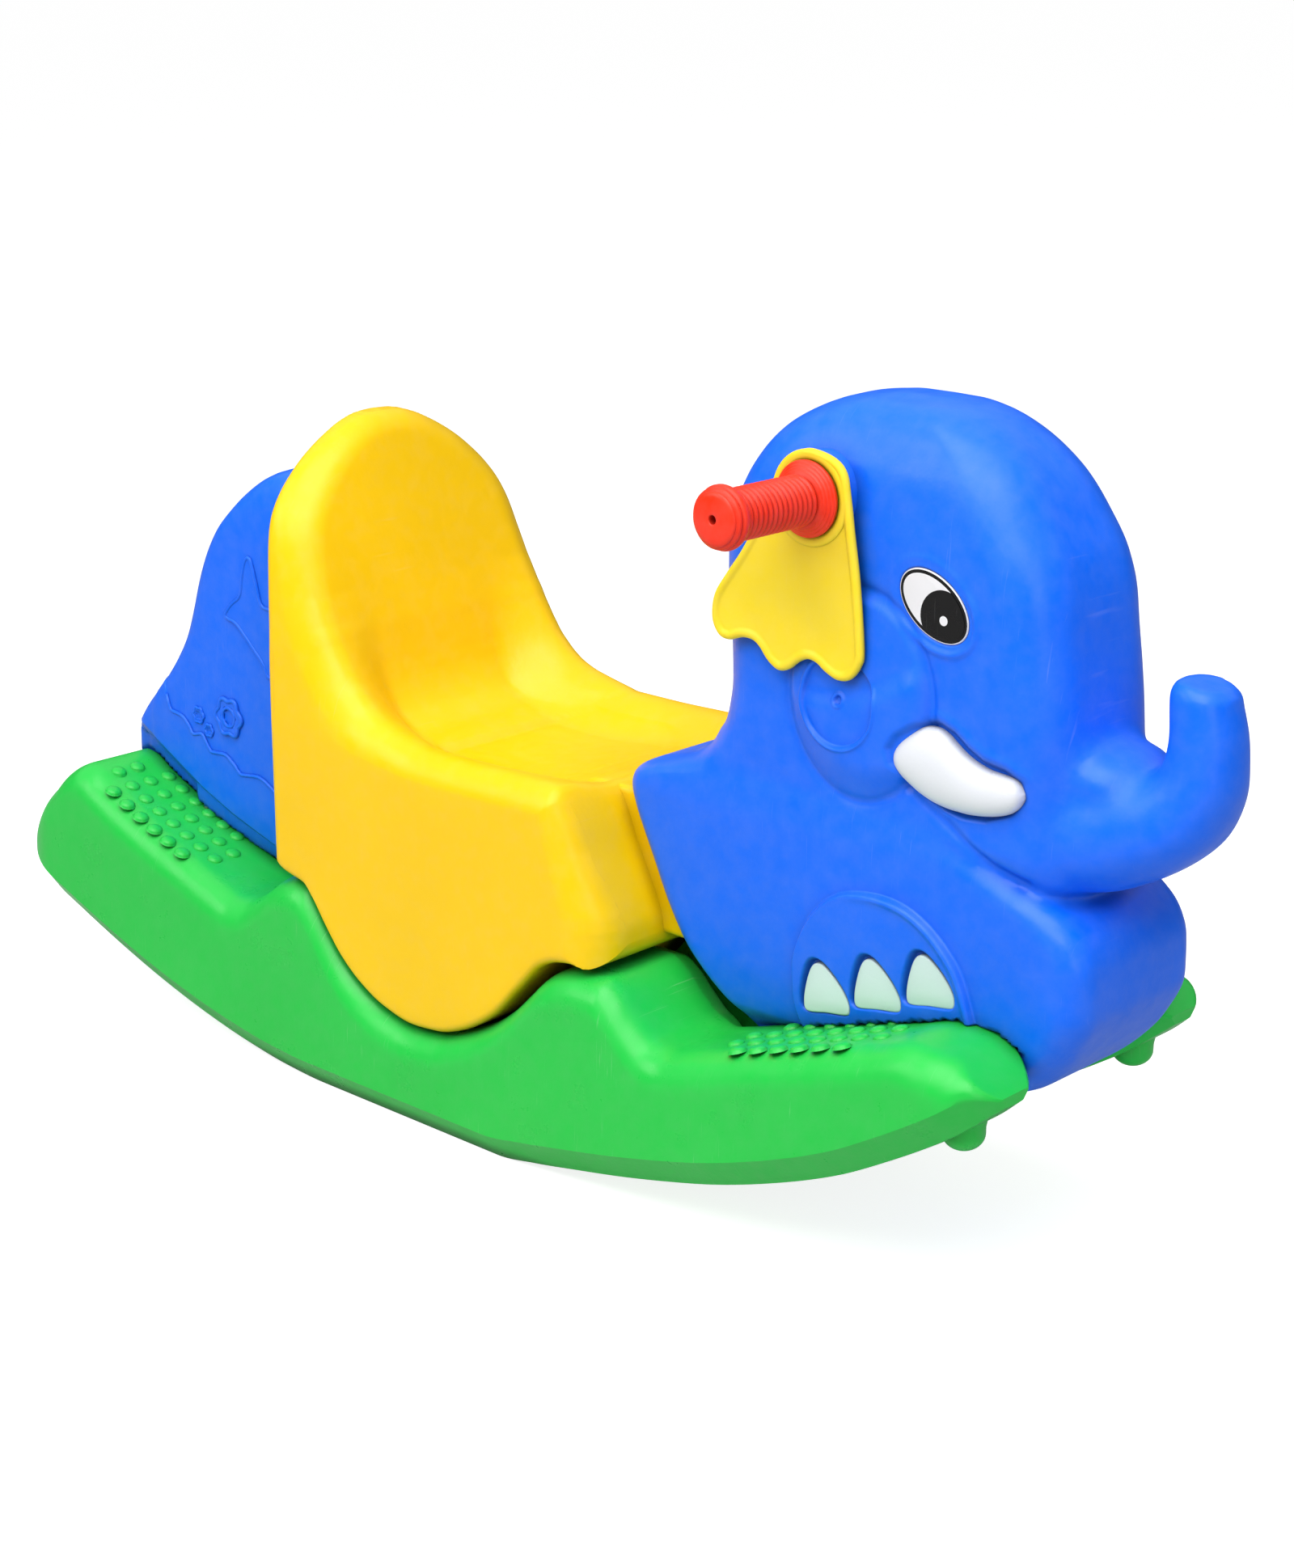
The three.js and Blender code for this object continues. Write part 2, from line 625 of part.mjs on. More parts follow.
// Seat
const seatCrest = scaled(seatCrestShares, seatRear, seatLength, 0, seatHeight);
const seatMiddle = scaled(seatMiddleShares, seatRear, seatLength, 0, seatHeight);
const seatStations = [...new Set([...runnerStations, ...seatCrest.map(([x]) => x)])]
  .filter((x) => x >= seatRear && x <= seatRear + seatLength)
  .sort((a, b) => a - b);
const seatAcrossShares = [0.985, 0.93, 0.84, 0.74, 0.6, 0.4, 0.2];

// The backrest leans further back the higher it goes
function leanAt(z) {
  const share = Math.max(z - seatLeanFrom, 0) / (seatHeight - seatLeanFrom);
  return seatLean * share ** seatLeanPower;
}

function seatRing(x, shift) {
  const share = (x - seatRear) / seatLength;
  const nose = Math.max(share - seatNoseLiftShare, 0) / (1 - seatNoseLiftShare);
  const bottom = heightOn(runnerTop, x) + seatLobeGap + seatNoseLift * nose;
  const crest = heightOn(seatCrest, x);
  const middle = heightOn(seatMiddle, x);
  const fromEnd = Math.min(x - seatRear, seatRear + seatLength - x, seatEndRound);
  const half = seatHalfWidth - seatEndRound + Math.sqrt(
    seatEndRound ** 2 - (seatEndRound - fromEnd) ** 2,
  );
  const rim = half - seatSideRound;
  const wing = seatSideRound + Math.max(crest - seatRailHeight, 0) * seatWingSlopeShare;
  const wingDrop = Math.min(wing, (crest - bottom) * seatWingLimitShare);
  const topAt = (y) => {
    const edge = Math.max(y - rim, 0) / seatSideRound;
    const dish = middle + (crest - middle) * Math.min(y / rim, 1) ** seatDishPower;
    return dish - wingDrop * (1 - (1 - edge ** 2) ** (1 / seatWingPower));
  };
  const across = seatAcrossShares.map((value) => value * half);
  const outline = [[half - seatUnderRound, bottom], [half, bottom + seatUnderRound]];
  for (const y of across) outline.push([y, topAt(y)]);
  outline.push([0, middle]);
  const mirrored = outline.slice(0, -1).reverse().map(([y, z]) => [-y, z]);
  const place = ([y, z]) => new THREE.Vector3(x - leanAt(z) - shift, y, z);
  return [...outline, ...mirrored].map(place);
}

const seatSkin = (shift) => solid(skin(seatStations.map((x) => seatRing(x, shift)), true));

function seat() {
  const tongue = solid(sidePlate(
    scaled(tongueShares, tongueRear, tongueLength, tongueBottom, tongueRise),
    -tongueHalfWidth, tongueHalfWidth, 1, tongueRound,
  ));
  const body = seatSkin(0).add(tongue);
  const frontClearance = solid(skin(bodySlices(seatingGap), true));
  return geometryOf(cutAll(body, [...runnerClearance, frontClearance, ...screwCuts]));
}

// Rear body
function rearBody() {
  const rings = rumpSliceShares.map(([up, rear, width, tuck]) => {
    const z = rumpBottom + up * rumpHeight;
    const half = width * rumpHalfWidth;
    const round = half * rumpRoundShare;
    const back = seatRear - rumpGap;
    const face = back - rumpGap / 2 + tuck * rumpTuck;
    return sliceRing(back - rear * rumpLength, face - leanAt(z), half, round, round, z);
  });
  return geometryOf(cutAll(solid(skin(rings, true)), [seatSkin(rumpGap), ...runnerClearance, ...screwCuts]));
}

// Handle bar, grips and ears
const earInner = headBoss + earGap;
const flangeInner = earInner + earThickness + earGap;
const gripEnd = flangeInner + gripLength;
const barEnd = gripEnd - endWall - seatingGap;

const handleBar = () => {
  const outer = barDiameter / 2;
  const inner = outer - barWall;
  return acrossLathe([
    [inner, -barEnd], [outer, -barEnd], [outer, barEnd], [inner, barEnd], [inner, -barEnd],
  ], 1, handleForward, handleUp);
};

function grip(sign) {
  const bore = barDiameter / 2 + barFit;
  const ribStart = flangeInner + 2 * flangeThickness;
  const ribPitch = (gripEnd - knobLength - ribStart) / gripRibs;
  const profile = [
    [bore, headBoss - flangeThickness], [earNeckDiameter / 2, headBoss - flangeThickness],
    [earNeckDiameter / 2, flangeInner], [flangeDiameter / 2, flangeInner],
    [flangeDiameter / 2, flangeInner + flangeThickness * flangeFlatShare],
    [flangeDiameter / 2 - flangeThickness, flangeInner + flangeThickness],
    [gripDiameter / 2, ribStart - ribPitch / 2],
  ];
  for (let rib = 0; rib < gripRibs; rib += 1) {
    profile.push([gripWaistDiameter / 2, ribStart + rib * ribPitch]);
    profile.push([gripDiameter / 2, ribStart + (rib + 0.5) * ribPitch]);
  }
  const knobStart = gripEnd - knobLength;
  profile.push(
    [gripWaistDiameter / 2, knobStart], [knobDiameter / 2, knobStart + knobLength * knobSlopeShare],
    [knobDiameter / 2, knobStart + knobLength * knobFlatShare],
    [endDiscDiameter / 2, gripEnd - knobLength * knobSlopeShare],
    [endDiscDiameter / 2 * endDiscFlatShare, gripEnd], [endHoleDiameter / 2, gripEnd],
    [endHoleDiameter / 2, gripEnd - endWall], [bore, gripEnd - endWall],
    [bore, headBoss - flangeThickness],
  );
  return acrossLathe(profile, sign, handleForward, handleUp, gripSides);
}

function ear(sign) {
  const outline = scaled(earShares, handleForward, earWidth, handleUp, earDrop);
  const plate = solid(sidePlate(outline, earInner, earInner + earThickness, sign, earRimBevel, 1));
  const hole = acrossRod(earNeckDiameter + 2 * earHoleFit, -gripEnd, gripEnd);
  return geometryOf(plate.subtract(hole));
}

// The head's boss takes the neck of each grip
function neckRecess(sign) {
  return solid(acrossLathe([
    [0, headBoss - flangeThickness - seatingGap],
    [earNeckDiameter / 2 + barFit, headBoss - flangeThickness - seatingGap],
    [earNeckDiameter / 2 + barFit, headBoss + cutOverrun], [0, headBoss + cutOverrun],
  ], sign, handleForward, handleUp));
}

const toy = new THREE.Group();

function place(name, geometry, finish) {
  const mesh = new THREE.Mesh(geometry, finish);
  mesh.name = name;
  toy.add(mesh);
}

const front = sides.reduce((body, { sign }) => body.subtract(neckRecess(sign)), solid(frontBody()));
place('front_body', geometryOf(front), blue);
place('rear_body', rearBody(), blue);
place('seat', seat(), yellow);
place('handle_bar', handleBar(), steel);
for (const { name, sign } of sides) {
  place(`runner_${name}`, runner(sign), green);
  place(`ear_${name}`, ear(sign), lemon);
  place(`grip_${name}`, grip(sign), red);
  place(`tusk_${name}`, tusk(sign), white);
  place(`eye_${name}`, eye(sign), black);
  for (const index of [0, 1, 2]) {
    place(`toenail_${name}_${index + 1}`, sidePlate(
      nailOutline(index), nailOuter - nailThickness, nailOuter, sign,
    ), pale);
  }
  for (const spot of screwPlaces) {
    const geometry = uprightLathe(screw(spot), spot.forward, sign * spot.side, screwSides);
    place(`runner_screw_${name}_${spot.name}`, geometry, steel);
  }
}

// Centres the toy over the origin
const extent = new THREE.Box3().setFromObject(toy);
toy.position.x = -(extent.min.x + extent.max.x) / 2;

export default toy;
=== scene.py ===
# Rocking elephant: smooth moulded shells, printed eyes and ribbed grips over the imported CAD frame.
# Sizes are in millimetres from the middle of the runners and become metres in build_mesh.
import math

import bmesh
import bpy
import numpy as np
from mathutils import Matrix, Vector


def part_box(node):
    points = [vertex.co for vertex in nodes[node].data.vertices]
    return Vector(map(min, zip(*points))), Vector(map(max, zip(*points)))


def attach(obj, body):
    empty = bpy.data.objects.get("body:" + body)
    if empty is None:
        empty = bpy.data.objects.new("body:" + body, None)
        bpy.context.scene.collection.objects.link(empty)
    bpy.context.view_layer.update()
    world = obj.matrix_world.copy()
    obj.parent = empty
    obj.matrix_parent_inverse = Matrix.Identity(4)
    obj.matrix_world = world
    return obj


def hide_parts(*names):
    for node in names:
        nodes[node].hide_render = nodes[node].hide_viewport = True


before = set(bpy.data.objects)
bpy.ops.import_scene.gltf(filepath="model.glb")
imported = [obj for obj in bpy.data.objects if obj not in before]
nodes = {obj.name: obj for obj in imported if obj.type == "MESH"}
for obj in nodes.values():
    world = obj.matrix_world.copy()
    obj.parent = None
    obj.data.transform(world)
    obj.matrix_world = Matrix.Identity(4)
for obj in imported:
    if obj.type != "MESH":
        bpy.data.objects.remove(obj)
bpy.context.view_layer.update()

MM = 0.001
low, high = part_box("runner_right")
SHIFT = (low[0] + high[0]) / 2 / MM
X, Y, Z = np.eye(3)
SIDES = (("right", -1), ("left", 1))


# Shapes in numbers

def smooth_line(points, xs):
    """Monotone cubic through [x, value] points, so that a curve doesn't overshoot its table."""
    points = np.asarray(points, float)
    x, v = points[:, 0], points[:, 1]
    h = np.diff(x)
    d = np.diff(v) / h
    same = d[:-1] * d[1:] > 0
    w1, w2 = 2 * h[1:] + h[:-1], h[1:] + 2 * h[:-1]
    inner = np.zeros(len(v) - 2)
    inner[same] = (w1 + w2)[same] / (w1[same] / d[:-1][same] + w2[same] / d[1:][same])
    slopes = np.concatenate([d[:1], inner, d[-1:]])
    xs = np.clip(np.asarray(xs, float), x[0], x[-1])
    i = np.clip(np.searchsorted(x, xs) - 1, 0, len(h) - 1)
    t = (xs - x[i]) / h[i]
    a = v[i] * (1 + 2 * t) * (1 - t) ** 2 + slopes[i] * h[i] * t * (1 - t) ** 2
    return a + v[i + 1] * t ** 2 * (3 - 2 * t) + slopes[i + 1] * h[i] * t ** 2 * (t - 1)


def scaled(shares, start, length, base, height):
    """Points in millimetres from shares of a length and a height."""
    return [(start + a * length, base + b * height) for a, b in shares]


def step(edge0, edge1, x):
    """Smooth rise from 0 to 1 between two edges."""
    t = np.clip((x - edge0) / (edge1 - edge0), 0, 1)
    return t * t * (3 - 2 * t)


def circle(count):
    """Cosines and sines of one turn."""
    a = np.linspace(0, 2 * math.pi, count, endpoint=False)
    return np.cos(a), np.sin(a)


def smooth_rows(rows, shares):
    """A table's columns, drawn smoothly through its rows and read at shares of its length."""
    t = np.linspace(0, 1, len(rows))
    return np.column_stack([smooth_line(np.column_stack([t, column]), shares)
                            for column in np.array(rows, float).T])


def smooth_loop(points, per_span, count):
    """Catmull-Rom round a closed outline, as count evenly spaced points."""
    p = np.asarray(points, float)
    curve = []
    for i in range(len(p)):
        p0, p1, p2, p3 = p[i - 1], p[i], p[(i + 1) % len(p)], p[(i + 2) % len(p)]
        for t in np.arange(per_span) / per_span:
            curve.append(0.5 * (2 * p1 + (p2 - p0) * t + (2 * p0 - 5 * p1 + 4 * p2 - p3) * t ** 2
                                + (3 * p1 - p0 - 3 * p2 + p3) * t ** 3))
    p = np.vstack([curve, curve[:1]])
    lengths = np.concatenate([[0], np.cumsum(np.linalg.norm(np.diff(p, axis=0), axis=1))])
    at = np.linspace(0, lengths[-1], count, endpoint=False)
    return np.column_stack([np.interp(at, lengths, p[:, k]) for k in range(2)])


def line_distance(line, x, z):
    """Distance to an open line of points."""
    p = np.column_stack([x, z])
    best = np.full(len(p), 1e9)
    for a, b in zip(line[:-1], line[1:]):
        ab = b - a
        t = np.clip(((p - a) @ ab) / max(ab @ ab, 1e-9), 0, 1)
        best = np.minimum(best, np.linalg.norm(p - (a + t[:, None] * ab), axis=1))
    return best


def outline_distance(outline, x, z):
    """Signed distance to a closed outline, positive inside."""
    closed = np.vstack([outline[-1:], outline])
    inside = np.zeros(len(x), bool)
    for a, b in zip(closed[:-1], closed[1:]):
        if a[1] != b[1]:
            at = a[0] + (z - a[1]) / (b[1] - a[1]) * (b[0] - a[0])
            inside ^= ((a[1] > z) != (b[1] > z)) & (x < at)
    distance = line_distance(closed, x, z)
    return np.where(inside, distance, -distance)


# Meshes

def placed(name, data):
    """Object that holds the data, in the scene."""
    obj = bpy.data.objects.new(name, data)
    bpy.context.scene.collection.objects.link(obj)
    return obj


def build_mesh(name, verts, faces):
    """Mesh object from points in millimetres in the runners' frame."""
    verts = np.asarray(verts, float).copy()
    verts[:, 0] += SHIFT
    mesh = bpy.data.meshes.new(name)
    mesh.from_pydata((verts * MM).tolist(), [], [list(f) for f in faces])
    mesh.validate()
    return placed(name, mesh)


def quads(rows, n):
    """Faces between rings of n points."""
    return [(r * n + i, r * n + (i + 1) % n, (r + 1) * n + (i + 1) % n, (r + 1) * n + i)
            for r in range(rows - 1) for i in range(n)]


def loop_quads(rows, n):
    """Faces round rings of n points whose last ring meets the first."""
    return [(r * n + i, k * n + i, k * n + (i + 1) % n, r * n + (i + 1) % n)
            for r in range(rows) for k in ((r + 1) % rows,) for i in range(n)]


def skin(rings):
    """Closed skin over rings of equal point counts, capped round each end's middle."""
    rings = [np.asarray(r, float) for r in rings]
    n = len(rings[0])
    verts = np.vstack(rings + [rings[0].mean(0)[None], rings[-1].mean(0)[None]])
    faces = quads(len(rings), n)
    first, last = len(rings) * n, (len(rings) - 1) * n
    for i in range(n):
        j = (i + 1) % n
        faces += [(j, i, first), (last + i, last + j, first + 1)]
    return verts, faces


def turned(profile, turns, origin, u, v, axis):
    """Round solid from [radius, height] points; u and v span its circles."""
    c, s = circle(turns)
    ring = np.outer(c, u) + np.outer(s, v)
    return skin([np.asarray(origin) + radius * ring + height * np.asarray(axis)
                 for radius, height in profile])


def joined(parts):
    """Points and faces of several parts as one."""
    verts, faces, base = [], [], 0
    for v, f in parts:
        verts.append(np.asarray(v, float))
        faces += [tuple(i + base for i in face) for face in f]
        base += len(v)
    return np.vstack(verts), faces


def outward(obj):
    """Turns every face outward."""
    bm = bmesh.new()
    bm.from_mesh(obj.data)
    bmesh.ops.recalc_face_normals(bm, faces=bm.faces)
    bm.to_mesh(obj.data)
    bm.free()
    return obj


def apply(obj):
    """Applies every modifier of obj."""
    dg = bpy.context.evaluated_depsgraph_get()
    mesh = bpy.data.meshes.new_from_object(obj.evaluated_get(dg))
    old = obj.data
    obj.modifiers.clear()
    obj.data = mesh
    mesh.name = obj.name
    bpy.data.meshes.remove(old)


def remesh(obj, voxel):
    """Melts overlapping closed parts into one even skin."""
    m = obj.modifiers.new("remesh", "REMESH")
    m.mode = "VOXEL"
    m.voxel_size = voxel * MM
    m.use_smooth_shade = True
    apply(obj)


def values_of(items, key, width, kind=float):
    """One attribute of all items, as rows."""
    out = np.empty(len(items) * width, kind)
    items.foreach_get(key, out)
    return out.reshape(-1, width)


def points_of(obj):
    p = values_of(obj.data.vertices, "co", 3) / MM
    p[:, 0] -= SHIFT
    return p


def set_points(obj, p):
    q = np.asarray(p, float).copy()
    q[:, 0] += SHIFT
    obj.data.vertices.foreach_set("co", (q * MM).ravel())
    obj.data.update()


def relax(obj, rounds, weight=None):
    """Smooths all points and undoes the shrinking, or softens each as much as weight says."""
    p = points_of(obj)
    e = values_of(obj.data.edges, "vertices", 2, int)
    count = np.bincount(e.ravel(), minlength=len(p))[:, None].clip(1)
    w = 1.0 if weight is None else weight(p)[:, None]

    def pull(q, amount):
        total = np.zeros_like(q)
        for k in range(3):
            total[:, k] = (np.bincount(e[:, 0], q[e[:, 1], k], len(q))
                           + np.bincount(e[:, 1], q[e[:, 0], k], len(q)))
        return q + amount * w * (total / count - q)

    for _ in range(rounds):
        p = pull(p, 0.5)
        if weight is None:
            p = pull(p, -0.52)
    set_points(obj, p)


def refine(obj, chosen):
    """Splits the faces that chosen(middles, normals) picks."""
    bm = bmesh.new()
    bm.from_mesh(obj.data)
    mids = np.array([f.calc_center_median()[:] for f in bm.faces]) / MM
    mids[:, 0] -= SHIFT
    picked = chosen(mids, np.array([f.normal[:] for f in bm.faces]))
    edges = list({e for f, on in zip(bm.faces, picked) if on for e in f.edges})
    bmesh.ops.subdivide_edges(bm, edges=edges, cuts=1, use_grid_fill=True, smooth=0.0)
    bm.to_mesh(obj.data)
    bm.free()


def shade_smooth(obj, angle=None):
    """Smooth shading, with edges above angle degrees kept sharp."""
    for poly in obj.data.polygons:
        poly.use_smooth = True
    if angle is not None:
        obj.data.set_sharp_from_angle(angle=math.radians(angle))


def finish_piece(obj, mat, slot, *replaced, body="rocker"):
    """Material and body, and hides the CAD nodes that the piece stands for; slot is not used."""
    obj.data.materials.clear()
    obj.data.materials.append(mat)
    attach(obj, body)
    if replaced:
        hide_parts(*replaced)


def smooth_piece(name, part, angle, *finish, **body):
    """Finished piece from points and faces."""
    obj = outward(build_mesh(name, *part))
    shade_smooth(obj, angle)
    finish_piece(obj, *finish, **body)


# Materials

def linear(rgb):
    """Shader colour from 8-bit sRGB."""
    c = np.array(rgb) / 255
    return (*np.where(c <= 0.04045, c / 12.92, ((c + 0.055) / 1.055) ** 2.4), 1.0)


def feed(node, inputs):
    """Links each socket that is given for an input, and sets each plain value."""
    for key, value in inputs.items():
        if isinstance(value, bpy.types.NodeSocket):
            node.id_data.links.new(value, node.inputs[key])
        else:
            node.inputs[key].default_value = value


def add(tree, kind, inputs, out=0, **settings):
    """Output of a new shader node."""
    node = tree.nodes.new("ShaderNode" + kind)
    for key, value in settings.items():
        setattr(node, key, value)
    feed(node, inputs)
    return node.outputs[out]


def material(name):
    """New material, its node tree and its principled shader."""
    mat = bpy.data.materials.new(name)
    mat.use_nodes = True
    return mat, mat.node_tree, mat.node_tree.nodes["Principled BSDF"]


def plastic(name, rgb, rough=0.36, peel=0.25, scuff=0.5, grain=(0.5, 0.9, 0.35)):
    """Moulded plastic: clouds, orange peel, rubbed patches, scratches and painted shade in creases.
    """
    mat, tree, bsdf = material(name)
    colour = linear(rgb)
    coords = add(tree, "TexCoord", {}, "Object")
    place = add(tree, "Mapping", {"Vector": coords})

    def noise(scale, detail, roughness=0.5, vector=place):
        return add(tree, "TexNoise", {"Scale": scale, "Detail": detail, "Roughness": roughness,
                                      "Vector": vector}, "Fac")

    def ramp(value, a, b, start, stop):
        return add(tree, "MapRange", {"Value": value, "From Min": a, "From Max": b,
                                      "To Min": start, "To Max": stop})

    def calculate(operation, *values):
        return add(tree, "Math", dict(enumerate(values)), operation=operation)

    shade = add(tree, "HueSaturation", {
        "Color": colour, "Value": ramp(noise(7, 3), 0.3, 0.7, 0.955, 1.035),
        "Saturation": ramp(noise(90, 4, 0.6), 0.3, 0.7, 0.985, 1.01)})

    # Hairline scratches: stretched cells, only where a coarse noise lets them through
    turn = add(tree, "Mapping", {"Vector": coords, "Rotation": grain, "Scale": (900, 16, 40)})
    scratch = ramp(noise(1, 2, 0.5, turn), 0.66, 0.74, 0, 1)
    through = ramp(noise(14, 2), 0.5, 0.66, 0, 1)
    amount = calculate("MULTIPLY", calculate("MULTIPLY", scratch, through), 0.35 * scuff)
    pale = tuple(0.6 * c + 0.4 for c in colour[:3]) + (1.0,)
    scratched = add(tree, "Mix", {"Factor": amount, "A": shade, "B": pale}, "Result",
                    data_type="RGBA")

    # Painted shade: ambient occlusion darkens the colour in creases and hollows
    hollow = add(tree, "AmbientOcclusion", {"Distance": 0.012}, "AO", samples=6)
    crease_light = ramp(hollow, 0.35, 0.95, 0.5, 1)
    crease_shade_grey = add(tree, "CombineColor", {"Red": crease_light, "Green": crease_light, "Blue": crease_light})
    crease_shaded = add(tree, "Mix", {"Factor": 1.0, "A": scratched, "B": crease_shade_grey}, "Result",
                 data_type="RGBA", blend_type="MULTIPLY")

    rub = ramp(noise(28, 6, 0.68), 0.35, 0.75, rough - 0.05, rough + 0.12)
    height = calculate("MULTIPLY_ADD", noise(38, 2), 3.0, noise(420, 2))
    feed(bsdf, {
        "Base Color": crease_shaded, "Roughness": calculate("ADD", rub, amount),
        "Normal": add(tree, "Bump", {"Strength": peel, "Distance": 0.0003, "Height": height}),
        "IOR": 1.5, "Specular IOR Level": 0.32})
    return mat


GREEN = plastic("green_plastic_skin", (38, 200, 74), rough=0.31, scuff=0.6,
                grain=(0.1, 1.45, 0.1))
YELLOW = plastic("yellow_plastic_skin", (255, 206, 2), rough=0.35, scuff=0.3)
BLUE = plastic("blue_plastic_skin", (22, 109, 252), scuff=0.3)
LEMON = plastic("ear_plastic_skin", (253, 224, 46), rough=0.42, scuff=0.25, peel=0.35)
RED = plastic("red_plastic_skin", (253, 54, 26), rough=0.38, scuff=0.6)
WHITE = plastic("white_plastic_skin", (228, 231, 237), rough=0.28, scuff=0.15)
NAIL_FINISH = plastic("nail_plastic_skin", (206, 226, 224), rough=0.34, scuff=0.25)
EYE_BLACK = plastic("eye_print_black", (8, 7, 8), rough=0.24, scuff=0.15, peel=0.1)
EYE_WHITE = plastic("eye_print_white", (232, 232, 235), rough=0.24, scuff=0.1, peel=0.1)


def steel():
    """Zinc-plated steel with a mottled tone."""
    mat, tree, bsdf = material("zinc_steel")
    place = add(tree, "TexCoord", {}, "Object")
    mottle = add(tree, "TexNoise", {"Scale": 160, "Detail": 4, "Vector": place}, "Fac")
    tone = add(tree, "ValToRGB", {"Fac": mottle})
    tone.node.color_ramp.elements[0].color = (0.42, 0.43, 0.45, 1)
    tone.node.color_ramp.elements[1].color = (0.66, 0.67, 0.69, 1)
    rough = add(tree, "MapRange", {"Value": mottle, "To Min": 0.25, "To Max": 0.5})
    feed(bsdf, {"Metallic": 1.0, "Base Color": tone, "Roughness": rough})
    return mat


STEEL = steel()

# Camera at the photograph's viewing angle
AZ, EL = math.radians(43.254), math.radians(17.279)
FOCAL, PHOTO_HEIGHT, SENSOR = 3518.4, 1939, 36
back = Vector((math.sin(AZ) * math.cos(EL), -math.cos(AZ) * math.cos(EL), math.sin(EL)))
right = Vector((math.cos(AZ), math.sin(AZ), 0))
up = back.cross(right)
cam = placed("camera", bpy.data.cameras.new("camera"))
cam.data.sensor_width = SENSOR
cam.data.lens = FOCAL * SENSOR / PHOTO_HEIGHT
cam.data.clip_end = 30
place = Matrix.Translation(((1247.5 + SHIFT) * MM, -1234.0 * MM, 754.7 * MM))
cam.matrix_world = place @ Matrix((right, up, back)).transposed().to_4x4()
bpy.context.scene.camera = cam

# Runners
RUNNER_LENGTH, RUNNER_HEIGHT = 864, 166
RUNNER_MID, RUNNER_HALF = 81, 37
RUNNER_END = RUNNER_LENGTH / 2
# How far the tips round off on each side, and the share of the width that is left there
INNER_ROUND, OUTER_ROUND, TIP_SHARE = 62, 40, 0.33
# Shares of the tread band's cut and of its height, from the tread up
BAND_STEPS = ((0.97, 0.03), (0.88, 0.11), (0.5, 0.5), (0.1, 0.9))
SCREWS = ((-292, 51.5), (-18, 81), (300, 51.5))
HEAD_BORE, SHANK_BORE = 5.5, 2.55
STOP_X, STOP_RADIUS = 399, 12.25
FOOTREST_X, FOOTREST_Y, STUD_PITCH, STUD_RADIUS, STUD_HEIGHT = 292.5, 79, 16, 5.4, 2.5
RUNNER_TOP = scaled([
    (-0.5, 0.585), (-0.495, 0.645), (-0.486, 0.72), (-0.474, 0.795), (-0.463, 0.857),
    (-0.451, 0.912), (-0.44, 0.968), (-0.429, 1.004), (-0.419, 1.022), (-0.407, 1.012),
    (-0.393, 0.974), (-0.347, 0.872), (-0.289, 0.766), (-0.248, 0.695), (-0.23, 0.669),
    (-0.213, 0.673), (-0.2, 0.703), (-0.186, 0.755), (-0.17, 0.815), (-0.153, 0.845),
    (-0.139, 0.831), (-0.127, 0.771), (-0.113, 0.675), (-0.097, 0.578), (-0.076, 0.494),
    (-0.051, 0.434), (-0.021, 0.404), (0.007, 0.416), (0.035, 0.464), (0.06, 0.53), (0.083, 0.62),
    (0.102, 0.717), (0.116, 0.789), (0.13, 0.831), (0.148, 0.855), (0.169, 0.855), (0.183, 0.819),
    (0.199, 0.741), (0.215, 0.681), (0.231, 0.669), (0.249, 0.693), (0.289, 0.759), (0.347, 0.855),
    (0.405, 0.952), (0.44, 1.004), (0.463, 0.994), (0.481, 0.955), (0.493, 0.915), (0.5, 0.885),
], 0, RUNNER_LENGTH, 0, RUNNER_HEIGHT)
TREAD = scaled([
    (-0.5, 0.54), (-0.491, 0.496), (-0.468, 0.424), (-0.434, 0.355), (-0.381, 0.257),
    (-0.326, 0.168), (-0.274, 0.099), (-0.222, 0.046), (-0.172, 0.012), (-0.13, 0), (0.064, 0),
    (0.104, 0.03), (0.146, 0.072), (0.186, 0.114), (0.231, 0.169), (0.274, 0.229), (0.331, 0.331),
    (0.385, 0.452), (0.42, 0.554), (0.45, 0.65), (0.475, 0.738), (0.5, 0.848),
], 0, RUNNER_LENGTH, 0, RUNNER_HEIGHT)


def runner_top(x):
    return smooth_line(RUNNER_TOP, x)


def tread(x):
    return smooth_line(TREAD, x)


def inner_reach(x):
    """How far a runner's inner side steps towards the middle under the seat's front."""
    return 15 * step(60, 110, x) * step(214, 184, x)


def tip_fill(x, length):
    """Share of a runner's half width that its rounded tips leave at x."""
    gone = 1 - np.minimum(RUNNER_END - np.abs(x), length) / length
    return np.sqrt(np.clip(1 - (1 - TIP_SHARE ** 2) * gone ** 2, 0, 1))


